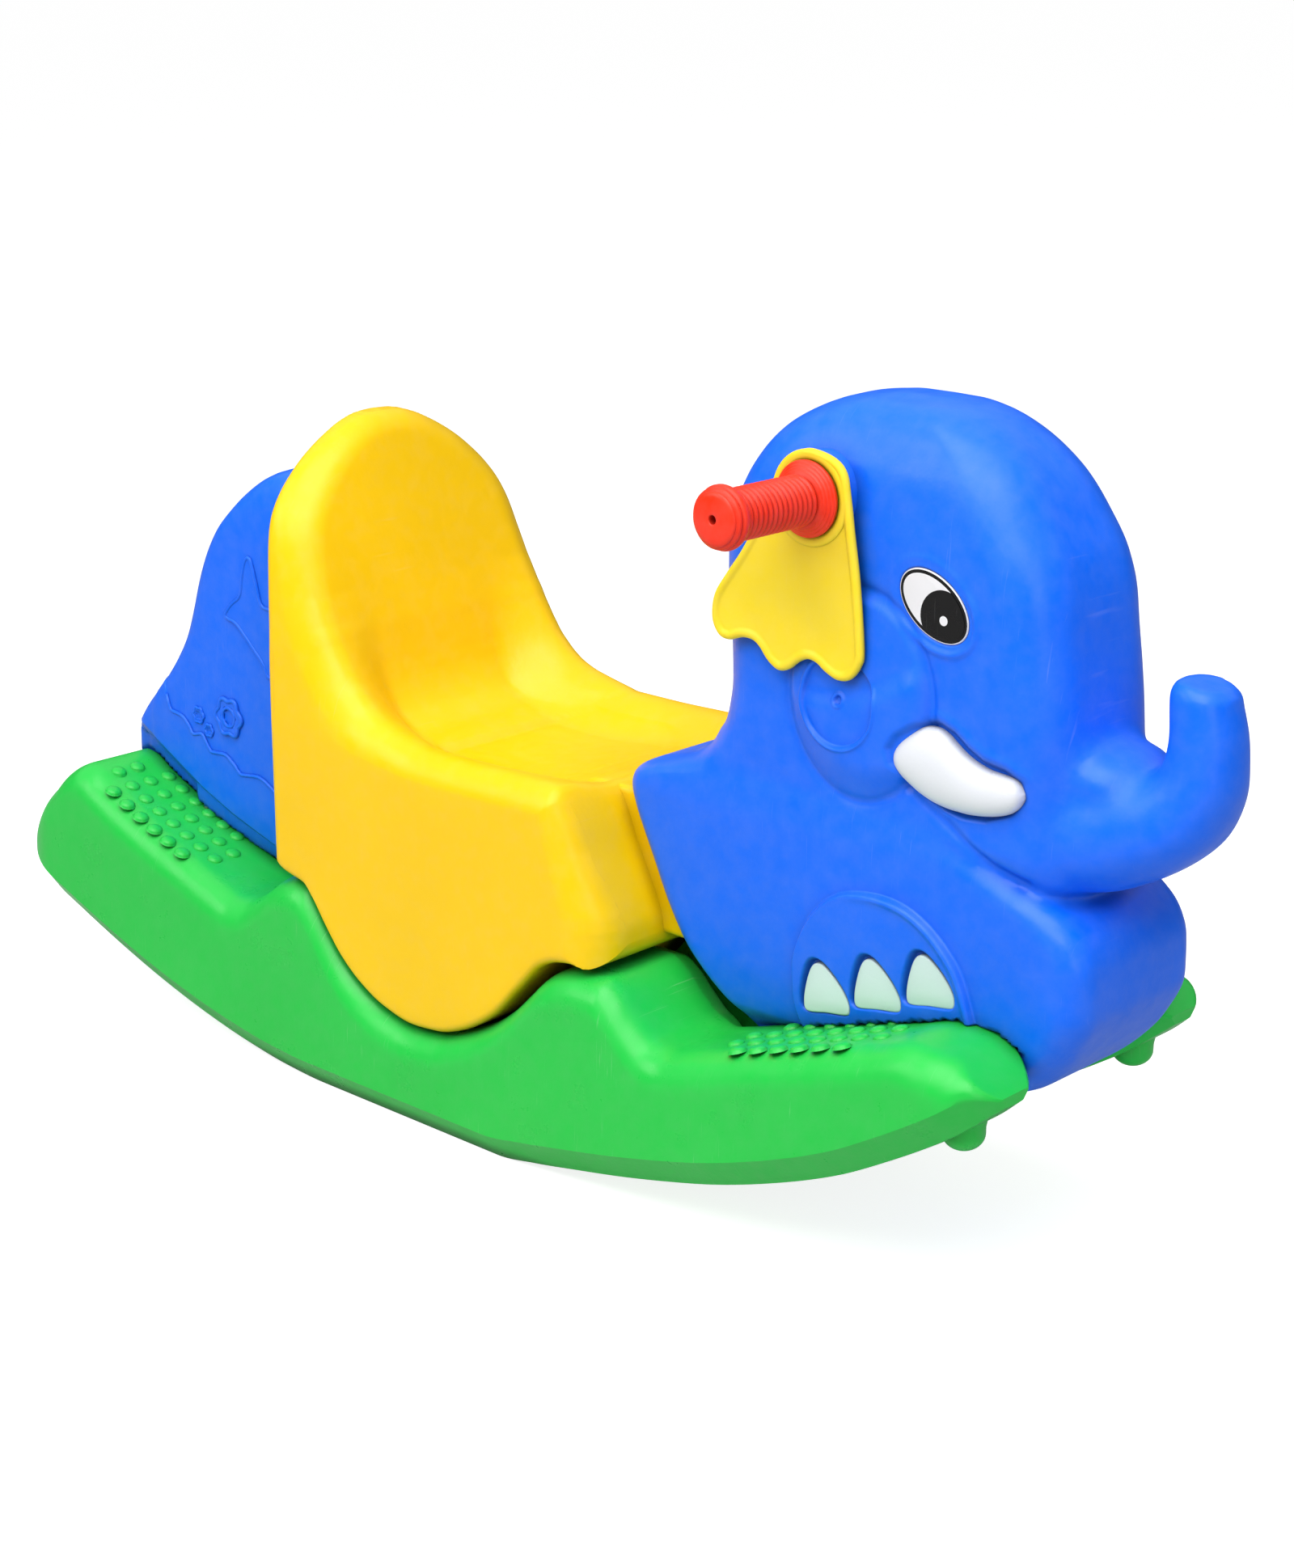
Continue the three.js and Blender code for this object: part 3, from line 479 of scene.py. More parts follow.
def runner_rings(sign, span=300):
    """Rings across a runner: tread band, parting crease, drafted side, round top, inner chamfer."""
    s = np.linspace(-1, 1, span)
    rings = []
    for x in RUNNER_END * np.sign(s) * (1 - (1 - np.abs(s)) ** 1.12):
        reach = inner_reach(x)
        inner_fill, outer_fill = tip_fill(x, INNER_ROUND), tip_fill(x, OUTER_ROUND)
        inner = RUNNER_MID - RUNNER_HALF * inner_fill - reach
        outer = RUNNER_MID + RUNNER_HALF * outer_fill
        bottom, top = tread(x), runner_top(x)
        ridge = min(bottom + 19, bottom + (top - bottom) * (0.5 + 0.3 * step(404, 432, x)))
        band, rnd = ridge - bottom, min(22, top - ridge)
        bevel, fall = (3.5 + 0.6 * reach) * inner_fill, min(2.5 + 0.15 * reach, (top - ridge) * 0.6)
        cut = 14 * outer_fill
        side = top - rnd - ridge
        draft = 0.03 * side
        sole = outer - inner - 2 * cut
        prof = [(inner + cut + sole * k, bottom) for k in (0.07, 0.3, 0.5, 0.7, 0.93)]
        prof += [(outer - cut * a, bottom + band * b) for a, b in BAND_STEPS] + [(outer, ridge)]
        prof += [(outer - draft * k, ridge + side * k) for k in (0.03, 0.3, 0.55, 0.8)]
        prof += [(outer - draft - rnd * (1 - math.cos(a)), top - rnd * (1 - math.sin(a)))
                 for a in np.linspace(0, math.pi / 2, 14)]
        start, stop = outer - draft - rnd, inner + bevel
        prof += [(start + (stop - start) * k, top) for k in np.linspace(0.06, 0.98, 12)]
        prof += [(inner + bevel * a, top - fall * b)
                 for a, b in ((1, 0.01), (0.93, 0.07), (0.2, 0.72), (0.05, 0.86), (0, 1))]
        prof += [(inner, ridge + (top - fall - ridge) * k) for k in (0.6, 0.3, 0)]
        prof += [(inner + cut * a, bottom + band * b) for a, b in BAND_STEPS[::-1]]
        rings.append([(x, sign * y, z) for y, z in prof])
    return rings


def stud(centre, slope):
    """Low moulded dome standing on a slope."""
    along, normal = [np.array(v) / math.hypot(1, slope) for v in ((1, 0, slope), (-slope, 0, 1))]
    prof = [(STUD_RADIUS * 1.12, -0.7)]
    for a in np.arange(6) * math.pi / 12:
        prof.append((STUD_RADIUS * math.cos(a), STUD_HEIGHT * math.sin(a)))
    return turned(prof, 20, centre, along, np.cross(normal, along), normal)


def footrest_studs(sign):
    parts = []
    for forward in (-FOOTREST_X, FOOTREST_X):
        slope = (runner_top(forward + 12) - runner_top(forward - 12)) / 24
        for row, count in enumerate((6, 8, 8, 6)):
            for k in range(count):
                x = forward + (k - (count - 1) / 2) * STUD_PITCH / math.hypot(1, slope)
                y = sign * (FOOTREST_Y + (row - 1.5) * STUD_PITCH)
                parts.append(stud((x, y, runner_top(x) - 0.15), slope))
    return parts


def runner_stop(sign, forward):
    """Round stop under the tread."""
    prof = [(0.2, -10)]
    for a in np.linspace(0.12, math.pi / 2, 12):
        prof.append((STOP_RADIUS * math.sin(a), -10 * math.cos(a)))
    prof += [(STOP_RADIUS, 4), (13.2, 9), (14, 12)]
    return turned(prof, 40, (forward, sign * RUNNER_MID, tread(forward)), X, Y, Z)


def bore(obj, x, y, bottom, top, radius):
    """Drills an upright hole."""
    cylinder = turned([(radius, bottom), (radius, top)], 32, (x, y, 0), X, Y, Z)
    cutter = outward(build_mesh("cutter", *cylinder))
    m = obj.modifiers.new("bore", "BOOLEAN")
    m.operation = "DIFFERENCE"
    m.solver = "EXACT"
    m.object = cutter
    apply(obj)
    bpy.data.objects.remove(cutter)


for name, sign in SIDES:
    body = outward(build_mesh(f"runner_shell_{name}", *skin(runner_rings(sign))))
    for x, y in SCREWS:
        bore(body, x, sign * y, tread(x) - 8, runner_top(x) - 26, HEAD_BORE)
        bore(body, x, sign * y, runner_top(x) - 27, runner_top(x) + 6, SHANK_BORE)
    shade_smooth(body, 31)
    finish_piece(body, GREEN, "green_plastic", f"runner_{name}")
    trim = joined(footrest_studs(sign) + [runner_stop(sign, f) for f in (-STOP_X, STOP_X)])
    smooth_piece(f"runner_studs_{name}", trim, 50, GREEN, "green_plastic")


# Plates and sliced bodies

def outward_normals(outline):
    """Directions out of a closed outline, one at each point."""
    p = np.asarray(outline, float)
    tangent = np.roll(p, -1, 0) - np.roll(p, 1, 0)
    tangent /= np.linalg.norm(tangent, axis=1)[:, None].clip(1e-9)
    x, z = p[:, 0], p[:, 1]
    area = (x * np.roll(z, -1) - np.roll(x, -1) * z).sum()
    return np.column_stack([tangent[:, 1], -tangent[:, 0]]) * (1 if area > 0 else -1)


def plate(outline, levels, sign):
    """Closed plate from [inset, distance from the middle] levels, capped flat at both ends."""
    normals = outward_normals(outline)
    n = len(outline)
    verts = []
    for inset, across in levels:
        q = outline - normals * inset
        verts.append(np.column_stack([q[:, 0], np.full(n, sign * across), q[:, 1]]))
    last = (len(levels) - 1) * n
    return np.vstack(verts), quads(len(levels), n) + [tuple(range(n)), tuple(range(last, last + n))]


def slice_ring(rear, front, half, rear_round, front_x, front_y, z):
    """Ring of a flat slice with round rear corners and oval front corners."""
    ring = []
    ends = ((front - front_x, front_x, front_y), (rear + rear_round, rear_round, rear_round))
    for quarter, (end, side) in enumerate(((0, 1), (1, 1), (1, -1), (0, -1))):
        x, rx, ry = ends[end]
        for a in np.linspace(quarter, quarter + 1, 11) * math.pi / 2:
            ring.append((x + rx * math.cos(a), side * (half - ry) + ry * math.sin(a), z))
    return ring


def sliced(rows, levels):
    """Skin over flat slices, from a table of heights and slice_ring's sizes."""
    rows = np.asarray(rows, float)
    zs = rows[0, 0] + (rows[-1, 0] - rows[0, 0]) * np.linspace(0, 1, levels)
    cols = [smooth_line(rows[:, (0, k)], zs) for k in range(1, rows.shape[1])]
    return skin([slice_ring(*[c[i] for c in cols], z) for i, z in enumerate(zs)])


# Seat: rings across the toy; its crest at the rims and its floor in the middle, along its length
SEAT_REAR, SEAT_FRONT, SEAT_HALF = -150, 147, 110
SEAT_WING, REAR_ROUND = 17, 9
RIM_Y = SEAT_HALF - SEAT_WING
SEAT_NOSE = [(136.5, 191), (144, 175), (146.5, 167), (147, 162)]
SEAT_CREST = [
    (-150, 256), (-90, 256), (-60, 254.5), (-34, 252), (-11, 250), (20, 250), (60, 251), (95, 252),
    (103, 251.5), (107, 249.5), (111.5, 244), (117.5, 232), (125, 214),
    *SEAT_NOSE,
]
SEAT_FLOOR = [
    (-150, 237), (-72, 235), (-44, 232.5), (-10, 231), (30, 233), (70, 238), (95, 242), (103, 244),
    (107, 243.5), (111.5, 240), (117.5, 231), (125, 213.5),
    *SEAT_NOSE,
]
# Backrest: its outline from behind, and its front's place in the middle and at the rims by height
BACK_OUTLINE = [
    (110, 60), (110, 150), (110, 230), (110, 270), (109.6, 299.5), (107.2, 324.5), (104, 344.5),
    (101.9, 356.5), (99.2, 367.5), (95.5, 377), (90, 386), (82.6, 394.8), (73.6, 403.2),
    (63.8, 411), (52.5, 418.3), (40, 425), (27.5, 430.5), (14, 434), (0, 435),
]
BACK_FACE = np.array([
    (150, -44, 0), (232, -46, 0), (236, -58, -4), (240, -70, -8), (247, -82, -16), (252, -88, -32),
    (257, -91.5, -49), (263, -95, -62), (269, -97.5, -71), (279, -100.5, -82), (290, -103, -90),
    (301, -105.3, -97), (313, -107.5, -103), (330, -110.3, -109), (350, -113, -113),
    (390, -118.5, -118.5), (415, -121.5, -121.5), (440, -124, -124),
], float)
# The seat's front edge against height
FRONT_EDGE = np.array([
    (150, 147), (160, 147), (168, 146.3), (176, 143.8), (191, 136.5), (214, 125), (232, 117.5),
    (244, 111.5), (250, 107),
])


def lean_at(z):
    """How far the backrest leans back at a height."""
    return 20 * (np.maximum(z - 305, 0) / 135) ** 1.15


def seat_stations():
    """Places along the seat, closer together where its top is steep."""
    count = 250
    return np.interp(np.linspace(0, 1, count), (0, 0.07, 0.52, 0.72, 1),
                     (SEAT_REAR, -141, -98, 100, SEAT_FRONT))


def rim_share(y):
    """How far the seat's inner surface has turned up into its rims."""
    return step(0.5, 1.0, np.minimum(y / RIM_Y, 1))


BACK_Y, BACK_Z = np.arange(0, 110.5, 1.0), np.arange(150, 440, 1.0)


def back_field():
    """Depth inside the backrest's outline, and its front face's place, over width and height."""
    y, z = (grid.ravel() for grid in np.meshgrid(BACK_Y, BACK_Z, indexing="ij"))
    line = smooth_rows(BACK_OUTLINE, np.linspace(0, 1, 90))
    deep = outline_distance(np.vstack([line, line[:-1][::-1] * (-1, 1)]), y, z)
    middle, rim = [np.interp(z, BACK_FACE[:, 0], BACK_FACE[:, k]) for k in (1, 2)]
    r = 14 + 12 * np.minimum(y / 92, 1) ** 2
    rounded = r - np.sqrt(r ** 2 - (r - np.clip(deep, 0, r)) ** 2)
    face = middle + (rim - middle) * rim_share(y) - rounded
    shape = (len(BACK_Y), len(BACK_Z))
    return deep.reshape(shape), face.reshape(shape)


BACK_DEEP, BACK_PLACE = back_field()


def back_tops(x):
    """Height of the backrest's top over BACK_Y where it is cut across at x."""
    gone = max(REAR_ROUND - (x - SEAT_REAR), 0)
    left = REAR_ROUND - math.sqrt(REAR_ROUND ** 2 - gone ** 2)
    inside = np.minimum(BACK_PLACE - x, 60 * (BACK_DEEP - left) + 1e-6)
    solid = inside >= 0
    last = np.where(solid.any(1), solid.shape[1] - 1 - np.argmax(solid[:, ::-1], axis=1), 0)
    after = np.minimum(last + 1, len(BACK_Z) - 1)
    rows = np.arange(len(BACK_Y))
    here, there = inside[rows, last], inside[rows, after]
    share = np.where(here > there, here / np.maximum(here - there, 1e-9), 0)
    return np.where(solid.any(1), BACK_Z[last] + np.clip(share, 0, 1), 150)


def pan_depth(x, y):
    """Distance inside the shallow panel in the seat's pan, a rectangle with round corners."""
    along, across = max(abs(x - 3) - 33, 0), max(abs(y) - 46, 0)
    return 24 - math.hypot(along, across)


def seat_bottom(x):
    """Height of the seat's underside, which follows the runners."""
    front, behind = max(x - 133, 0) / 14, max(-128 - x, 0) / 22
    gap = 1.2 + np.interp(x, (-30, 30, 60, 75, 95, 106, 122, 133), (0, 0, 3, 7, 8.5, 6.5, 4, 2.5))
    for height, share in ((13, min(front, 1)), (27, min(behind, 1))):
        gap += height * (1 - math.sqrt(1 - share ** 2))
    return runner_top(x) + gap


def seat_ring(x):
    """Cut across the seat at x: underside, side, wing, backrest and pan, with rounded corners."""
    bottom, crest, floor = seat_bottom(x), smooth_line(SEAT_CREST, x), smooth_line(SEAT_FLOOR, x)
    wing = min(SEAT_WING, (crest - bottom) * 0.7)
    tops = back_tops(x)

    def top_at(y):
        edge = max(y - RIM_Y, 0) / SEAT_WING
        pan = floor + (crest - floor) * rim_share(y) - 0.9 * step(-1.2, 1.2, pan_depth(x, y))
        back = np.interp(y, BACK_Y, tops)
        mixed = min(max(0.5 + (back - pan) / 18, 0), 1)
        fold = wing * (1 - (1 - edge ** 2) ** (1 / 1.6))
        return pan + (back - pan) * mixed + 9 * mixed * (1 - mixed) - fold

    half, side_top = SEAT_HALF, top_at(SEAT_HALF)
    turn, flat = min(6, (side_top - bottom) * 0.4), half - 6
    outline = [(y, bottom) for y in np.linspace(0, flat, 14)]
    outline += [(flat + 6 * math.sin(a), bottom + turn * (1 - math.cos(a)))
                for a in np.linspace(0.3, 1.57, 5)]
    outline += [(half, z) for z in np.linspace(bottom + turn, side_top, 26)[1:-1]]
    outline += [(y, top_at(y)) for y in half - SEAT_WING * (1 - np.cos(np.linspace(0, 1.57, 22)))]
    outline += [(y, top_at(y)) for y in np.linspace(RIM_Y, 0, 80)[1:]]
    y, z = np.vstack([outline, np.array(outline[1:-1])[::-1] * (-1, 1)]).T
    # Round the upright corners in front and behind
    before, r_front = np.interp(z, *FRONT_EDGE.T) - x, np.interp(z, (165, 250), (29, 15))
    for depth, r in ((before, r_front), (x - SEAT_REAR, REAR_ROUND)):
        t = np.clip(r - np.maximum(depth, 0), 0, r)
        limit = half - r + np.sqrt(r * r - t * t)
        y = np.clip(y, -limit, limit)
    return np.column_stack([x - lean_at(z), y, z])


seat_parts = [skin([seat_ring(x) for x in seat_stations()])]
TONGUE = smooth_loop([
    (64, 160), (64, 215), (80, 240), (110, 243.5), (150, 244), (196, 244), (205, 236), (205, 168),
    (197, 158), (150, 157), (90, 157),
], 6, 160)
TONGUE_EDGE = ((0, 44), (0.2, 46.5), (0.9, 48.3), (2.2, 49.5), (4.5, 50))
levels = [*((inset, -y) for inset, y in TONGUE_EDGE[::-1]), (0, 0), *TONGUE_EDGE]
seat_parts.append(plate(TONGUE, levels, 1))
smooth_piece("seat_shell", joined(seat_parts), 55, YELLOW, "yellow_plastic", "seat")

# Front body: chest and shoulder, head, trunk, then relief
# Rows of height, then slice_ring's rear, front, half width, rear rounding and front rounding
CHEST_ROWS = [
    (92, 250, 350, 30, 12, 16, 16), (100, 236, 362, 40, 12, 21, 21),
    (112, 215, 382, 43, 11, 24, 24), (120, 205, 396, 46, 11, 24, 24),
    (130, 194, 416, 53, 12, 25, 25), (145, 178, 433, 56, 12, 22, 22),
    (160, 165, 444, 57.5, 12, 20, 19), (185, 150, 454, 58, 12, 19, 18),
    (208, 139, 453, 58, 12, 19, 17), (222, 132, 448, 58, 12, 20, 17),
    (235, 126, 435, 58, 12, 24, 16), (244, 123, 418, 58, 12, 29, 16),
    (250, 121.5, 404, 58, 13, 34, 17), (255, 121.5, 393, 57.6, 15, 34, 15),
    (259.5, 124.5, 384, 57, 18, 32, 14), (263, 131, 378, 56.6, 21, 28, 14),
    (266.5, 142, 372, 56, 24, 24, 14), (270.5, 155, 360, 55, 27, 20, 14),
    (276, 166, 348, 54.2, 28, 20, 14), (284, 175, 333, 54.2, 28, 18, 14),
    (294, 181, 316, 54.2, 28, 18, 14),
]
HEAD_ROWS = [
    (244, 404, 430, 34, 8, 12, 16), (248, 384, 434, 44, 10, 20, 24),
    (256, 362, 433, 52, 14, 28, 30), (266, 340, 431, 55.4, 16, 30, 31),
    (278, 240, 430.1, 54.6, 18, 30, 31), (289, 182, 429.1, 54.4, 28, 31, 31),
    (305, 187, 428.5, 54.5, 28, 31, 31), (325, 190, 427.7, 54.5, 28, 31, 31),
    (355, 189, 424.1, 54.5, 28, 31, 31), (380, 186, 420.3, 54.5, 28, 31, 31),
    (400, 186, 417.6, 54.5, 28, 31, 31), (420, 186.8, 411.8, 54, 30, 32, 32),
    (442, 193.5, 400.1, 52.1, 33, 34, 34), (458, 202.3, 389.6, 49.3, 34, 35, 35),
    (473, 215.2, 375.1, 43.6, 33, 34, 33), (483, 230.1, 361.5, 37.9, 32, 32, 31),
    (491, 249.1, 346, 29.4, 26, 27, 26), (495.6, 268, 331, 19, 18, 19, 18),
    (497.6, 284, 316, 8.5, 7, 7, 7),
]
TRUNK = [
    (-0.2, 0.34, 0.9, 0.86), (0.1, 0.305, 0.95, 0.94), (0.32, 0.3, 0.91, 0.9),
    (0.5, 0.352, 0.86, 0.81), (0.65, 0.418, 0.76, 0.69), (0.75, 0.5, 0.69, 0.57),
    (0.81, 0.63, 0.61, 0.48), (0.82, 0.77, 0.55, 0.43), (0.8, 0.91, 0.5, 0.4),
    (0.79, 0.985, 0.47, 0.38), (0.796, 1.026, 0.34, 0.3),
]
# Where the trunk starts, and its reach, height, depth and width
TRUNK_X, TRUNK_Z, TRUNK_SIZES = 385, 236, np.array(((125.4,), (128,), (36,), (50,)))


def trunk():
    """Rounded tube along TRUNK, whose rows are its middle, depth and width as shares."""
    x, z, depth, width = smooth_rows(TRUNK, np.linspace(0, 1, 60)).T * TRUNK_SIZES
    middle = np.column_stack([TRUNK_X + x, TRUNK_Z + z])
    tangent = np.gradient(middle, axis=0)
    tangent /= np.linalg.norm(tangent, axis=1)[:, None]
    c, q = [np.sign(f) * np.abs(f) ** (2 / 2.3) for f in circle(48)]
    return skin([np.column_stack([mx - tz * c * d, q * w, mz + tx * c * d])
                 for (mx, mz), (tx, tz), d, w in zip(middle, tangent, depth, width)])


HANDLE_X, HANDLE_Z = 266.5, 443.2
HANDLE = np.array((HANDLE_X, 0, HANDLE_Z))


def boss(across, radius):
    """Drum about the handle with rounded edges."""
    edge = ((radius - 2.4, across), (radius - 0.7, across - 0.7), (radius, across - 2.4))
    return turned([(r, -y) for r, y in edge] + list(edge[::-1]), 48, HANDLE, X, Z, Y)


def ball(centre, size):
    """Rounded lump that fills a corner between two forms."""
    prof = [(math.sin(a), -math.cos(a)) for a in np.linspace(0.15, math.pi - 0.15, 16)]
    return turned(prof, 28, centre, *(np.eye(3) * size))


VOXEL = 2.4
front = outward(build_mesh("front_body_shell", *joined([
    sliced(CHEST_ROWS, 60), sliced(HEAD_ROWS, 70), trunk(), ball((438, 0, 309), (20, 38, 16)),
])))
remesh(front, VOXEL)


def blob(centre, size, gain=1):
    """Weight for relax: strongest at a centre and fading over a size."""
    def weight(p):
        away = ((p - np.array(centre)) / np.array(size)) ** 2
        return np.clip(gain * np.exp(-away.sum(1)), 0, 1)
    return weight


rounds, many = ((8, 60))
relax(front, rounds)
relax(front, many, blob((432, 0, 312), (34, 60, 34), 1.5))
relax(front, many // 3, blob((168, 0, 274), (30, 90, 16), 1.2))
relax(front, many // 5, blob((400, 0, 250), (60, 90, 22)))

# The eye's middle, length, height and tilt
EYE = (347.5, 394.7, 51, 33, -0.56)
TUSK_OUTLINE = np.array(scaled([
    (0, 0.62), (0.06, 0.78), (0.2, 0.95), (0.34, 1), (0.45, 0.93), (0.56, 0.78), (0.7, 0.65),
    (0.88, 0.6), (0.98, 0.5), (1, 0.34), (0.93, 0.18), (0.74, 0.03), (0.56, 0), (0.4, 0.04),
    (0.24, 0.16), (0.1, 0.36), (0.02, 0.48),
], 325.5, 81, 284.2, 44))
ARCH = smooth_loop([
    (259, 140), (257, 160), (258, 177), (268, 199.5), (285, 217), (306, 224.5), (332, 225),
    (354, 216.5), (374, 198.5), (384, 178), (388, 158), (380, 130), (320, 120), (272, 124),
], 6, 120)
NAIL = [
    (0, 0.16), (0.08, -0.04), (0.5, 0.04), (0.94, 0.12), (1, 0.24), (0.96, 0.42), (0.78, 0.68),
    (0.52, 0.92), (0.32, 1), (0.16, 0.9), (0.05, 0.56),
]
NAILS = [smooth_loop(scaled(NAIL, 267 + i * 37, 34, 145 + i * 12, 30), 5, 60) for i in range(3)]


def on_eye(u, v):
    """Points in the tilted eye's own directions, in the toy's."""
    cx, cz, _, _, tilt = EYE
    return np.column_stack([cx + u * math.cos(tilt) - v * math.sin(tilt),
                            cz + u * math.sin(tilt) + v * math.cos(tilt)])


def eye_outline(grow, count=96):
    c, s = circle(count)
    return on_eye((EYE[2] / 2 + grow) * c, (EYE[3] / 2 + grow) * s)


EYE_EDGE = eye_outline(0, 48)
# The cheek's middle and half sizes, and the disc's middle and radius
CHEEK = (297.5, 335.7, 49.5, 58.5)
DISC = (286.5, 331.2, 25.5)


def cheek_depth(x, z):
    """Distance inside the cheek lobe's oval edge."""
    r = np.hypot((x - CHEEK[0]) / CHEEK[2], (z - CHEEK[1]) / CHEEK[3])
    return (1 - r) * 54


TRUNK_CREASE = np.array([
    (333, 292), (346, 284), (362, 275), (376, 266), (392, 257), (410, 251),
], float)


def front_relief(x, z):
    """Height of the moulded relief on each side of the front body."""
    inside = cheek_depth(x, z)
    low_rear = np.clip(-0.6 * (x - CHEEK[0]) / CHEEK[2] - 0.8 * (z - CHEEK[1]) / CHEEK[3], 0, 1)
    free = step(0, 14, np.hypot(x - HANDLE_X, z - HANDLE_Z) - 106)
    h = 7.2 * (1 - (1 - np.clip(inside / (13 + 24 * low_rear), 0, 1)) ** 2.2) * free
    h += (1.9 * step(0, 5, inside) + 1.9 * (1 - (1 - np.clip(inside / 36, 0, 1)) ** 2)) * (1 - free)
    h -= 1.3 * np.exp(-((inside + 2.6) / 2.4) ** 2)
    # Sunk disc with a small centre mark
    disc = DISC[2] - np.hypot(x - DISC[0], z - DISC[1])
    h -= 1.9 * step(-1.0, 1.0, disc) - 1.1 * np.exp(-((disc + 1.6) / 1.1) ** 2)
    pip = np.hypot(x - DISC[0] + 0.5, z - DISC[1] - 0.5)
    h += 0.9 * np.exp(-((pip - 3.6) / 0.9) ** 2) - 1.4 * step(2.8, 1.8, pip)
    # Foot arch and the toenails' hollows
    arch = outline_distance(ARCH, x, z)
    h += 3.6 * step(-0.5, 1.9, arch) + 1.3 * np.exp(-((arch - 3.2) / 2.0) ** 2) * step(285, 335, x)
    for outline in NAILS:
        hollow = outline_distance(outline + (-1.6, 1.4), x, z)
        h -= 4.6 * step(-2.2, 0.6, hollow) * step(0, 1, arch)
    # Sockets of the eye and the tusk, and the crease under the trunk
    eye = outline_distance(EYE_EDGE, x, z)
    lower = step(-4, 6, (EYE[1] - z) + 0.4 * (x - EYE[0]))
    h += 1.6 * np.exp(-((eye + 5.5) / 2.0) ** 2) * (0.3 + 0.7 * lower) - 1.2 * step(-1.2, 0.4, eye)
    tusk = outline_distance(TUSK_OUTLINE, x, z)
    h -= 3.4 * step(-5.0, -0.4, tusk)
    h += 0.9 * np.exp(-((tusk + 7.5) / 2.2) ** 2) * step(340, 360, x) * step(300, 316, z)
    h -= 2.2 * np.exp(-(line_distance(TRUNK_CREASE, x, z) / 3.4) ** 2)
    # The ears swing over the cheek's upper part, so it stays low
    return np.minimum(h, 3.8 + 5 * free)


def beside(mid, normal, bands):
    """Picks the side's faces that lie within one of the bands, given as distances and reaches."""
    near = np.any([np.abs(distance) < reach for distance, reach in bands], axis=0)
    return near & (np.abs(normal[:, 1]) > 0.45) & (np.abs(mid[:, 1]) > 40)


def front_faces(widths, coarse):
    """Chooser of the faces near the front body's relief; widths are shifts and reaches."""
    def chosen(mid, normal):
        x, z = mid[:, 0], mid[:, 2]
        disc = np.hypot(x - DISC[0], z - DISC[1])
        outlines = (ARCH, EYE_EDGE, TUSK_OUTLINE, *NAILS)
        forms = [disc - DISC[2], *(outline_distance(outline, x, z) for outline in outlines)]
        widened = zip(forms, widths + widths[-1:] * 2)
        bands = [(form + shift, reach) for form, (shift, reach) in widened]
        if coarse:
            bands += [(cheek_depth(x, z) - 3, 8), (line_distance(TRUNK_CREASE, x, z), 7)]
        return beside(mid, normal, bands + [(disc, 6.5)])
    return chosen


refine(front, front_faces(((-0.5, 3.5), (0, 7), (2, 8), (4, 7), (0.5, 5)), True))
refine(front, front_faces(((-0.5, 3), (-1, 3.5), (0.5, 2), (1, 2.2), (1, 3)), False))


def emboss(obj, relief):
    """Moves side-facing points out or in by the relief's height there."""
    p, n = points_of(obj), values_of(obj.data.vertices, "normal", 3)
    facing = step(0.35, 0.8, np.abs(n[:, 1])) * (np.abs(p[:, 1]) > 38)
    on = facing > 0.01
    lift = np.zeros(len(p))
    lift[on] = relief(p[on, 0], p[on, 2]) * facing[on]
    p += n * lift[:, None]
    set_points(obj, p)


emboss(front, front_relief)


def tuck(obj, gap=0.5):
    """Keeps a body's keel between the runners' inner faces."""
    p = points_of(obj)
    x, y, z = p[:, 0], np.abs(p[:, 1]), p[:, 2]
    between = (z < runner_top(x) + gap) & (np.abs(x) < RUNNER_END) & (z > tread(x) - gap)
    inner = RUNNER_MID - RUNNER_HALF * tip_fill(x, INNER_ROUND) - gap
    squeeze = between & (y > inner)
    p[squeeze, 1] = np.sign(p[squeeze, 1]) * inner[squeeze]
    set_points(obj, p)


tuck(front)
shade_smooth(front)
finish_piece(front, BLUE, "blue_plastic", "front_body")
smooth_piece("handle_boss", boss(58.4, 25), 40, BLUE, "blue_plastic")

# Rear body
RUMP_FRONT, RUMP_LENGTH, RUMP_BASE, RUMP_HEIGHT, RUMP_HALF = -151, 229, 104, 298, 57
RUMP_ROWS = []
for up_share, rear, width in [
    (0, 0.659, 0.67), (0.027, 0.845, 0.81), (0.067, 0.934, 0.93), (0.114, 0.969, 0.98),
    (0.171, 0.982, 1), (0.228, 0.982, 1), (0.262, 0.978, 1), (0.295, 0.956, 1), (0.339, 0.912, 1),
    (0.406, 0.827, 1), (0.473, 0.752, 1), (0.54, 0.695, 1), (0.607, 0.659, 1), (0.674, 0.628, 1),
    (0.742, 0.588, 1), (0.809, 0.531, 1), (0.87, 0.451, 0.98), (0.915, 0.381, 0.93),
    (0.952, 0.305, 0.84), (0.978, 0.195, 0.67), (0.986, 0.106, 0.49),
]:
    z = RUMP_BASE + up_share * RUMP_HEIGHT
    half = width * RUMP_HALF
    front_x = RUMP_FRONT - 1.5 - 0.09 * max(z - 110, 0)
    RUMP_ROWS.append((z, RUMP_FRONT - rear * RUMP_LENGTH, front_x, half,
                      half * 0.34, half * 0.2, half * 0.2))
rear = outward(build_mesh("rear_body_shell", *sliced(RUMP_ROWS, 70)))
remesh(rear, VOXEL)
relax(rear, rounds)


def flower(x, z, cx, cz, r):
    """Height of a round petalled boss with a hollow middle."""
    a = np.arctan2(z - cz, x - cx)
    d = r * (1 + 0.10 * np.cos(6 * a)) - np.hypot(x - cx, z - cz)
    return 1.3 * step(-0.6, 2.4, d) - 1.3 * step(r * 0.44, r * 0.58, d)


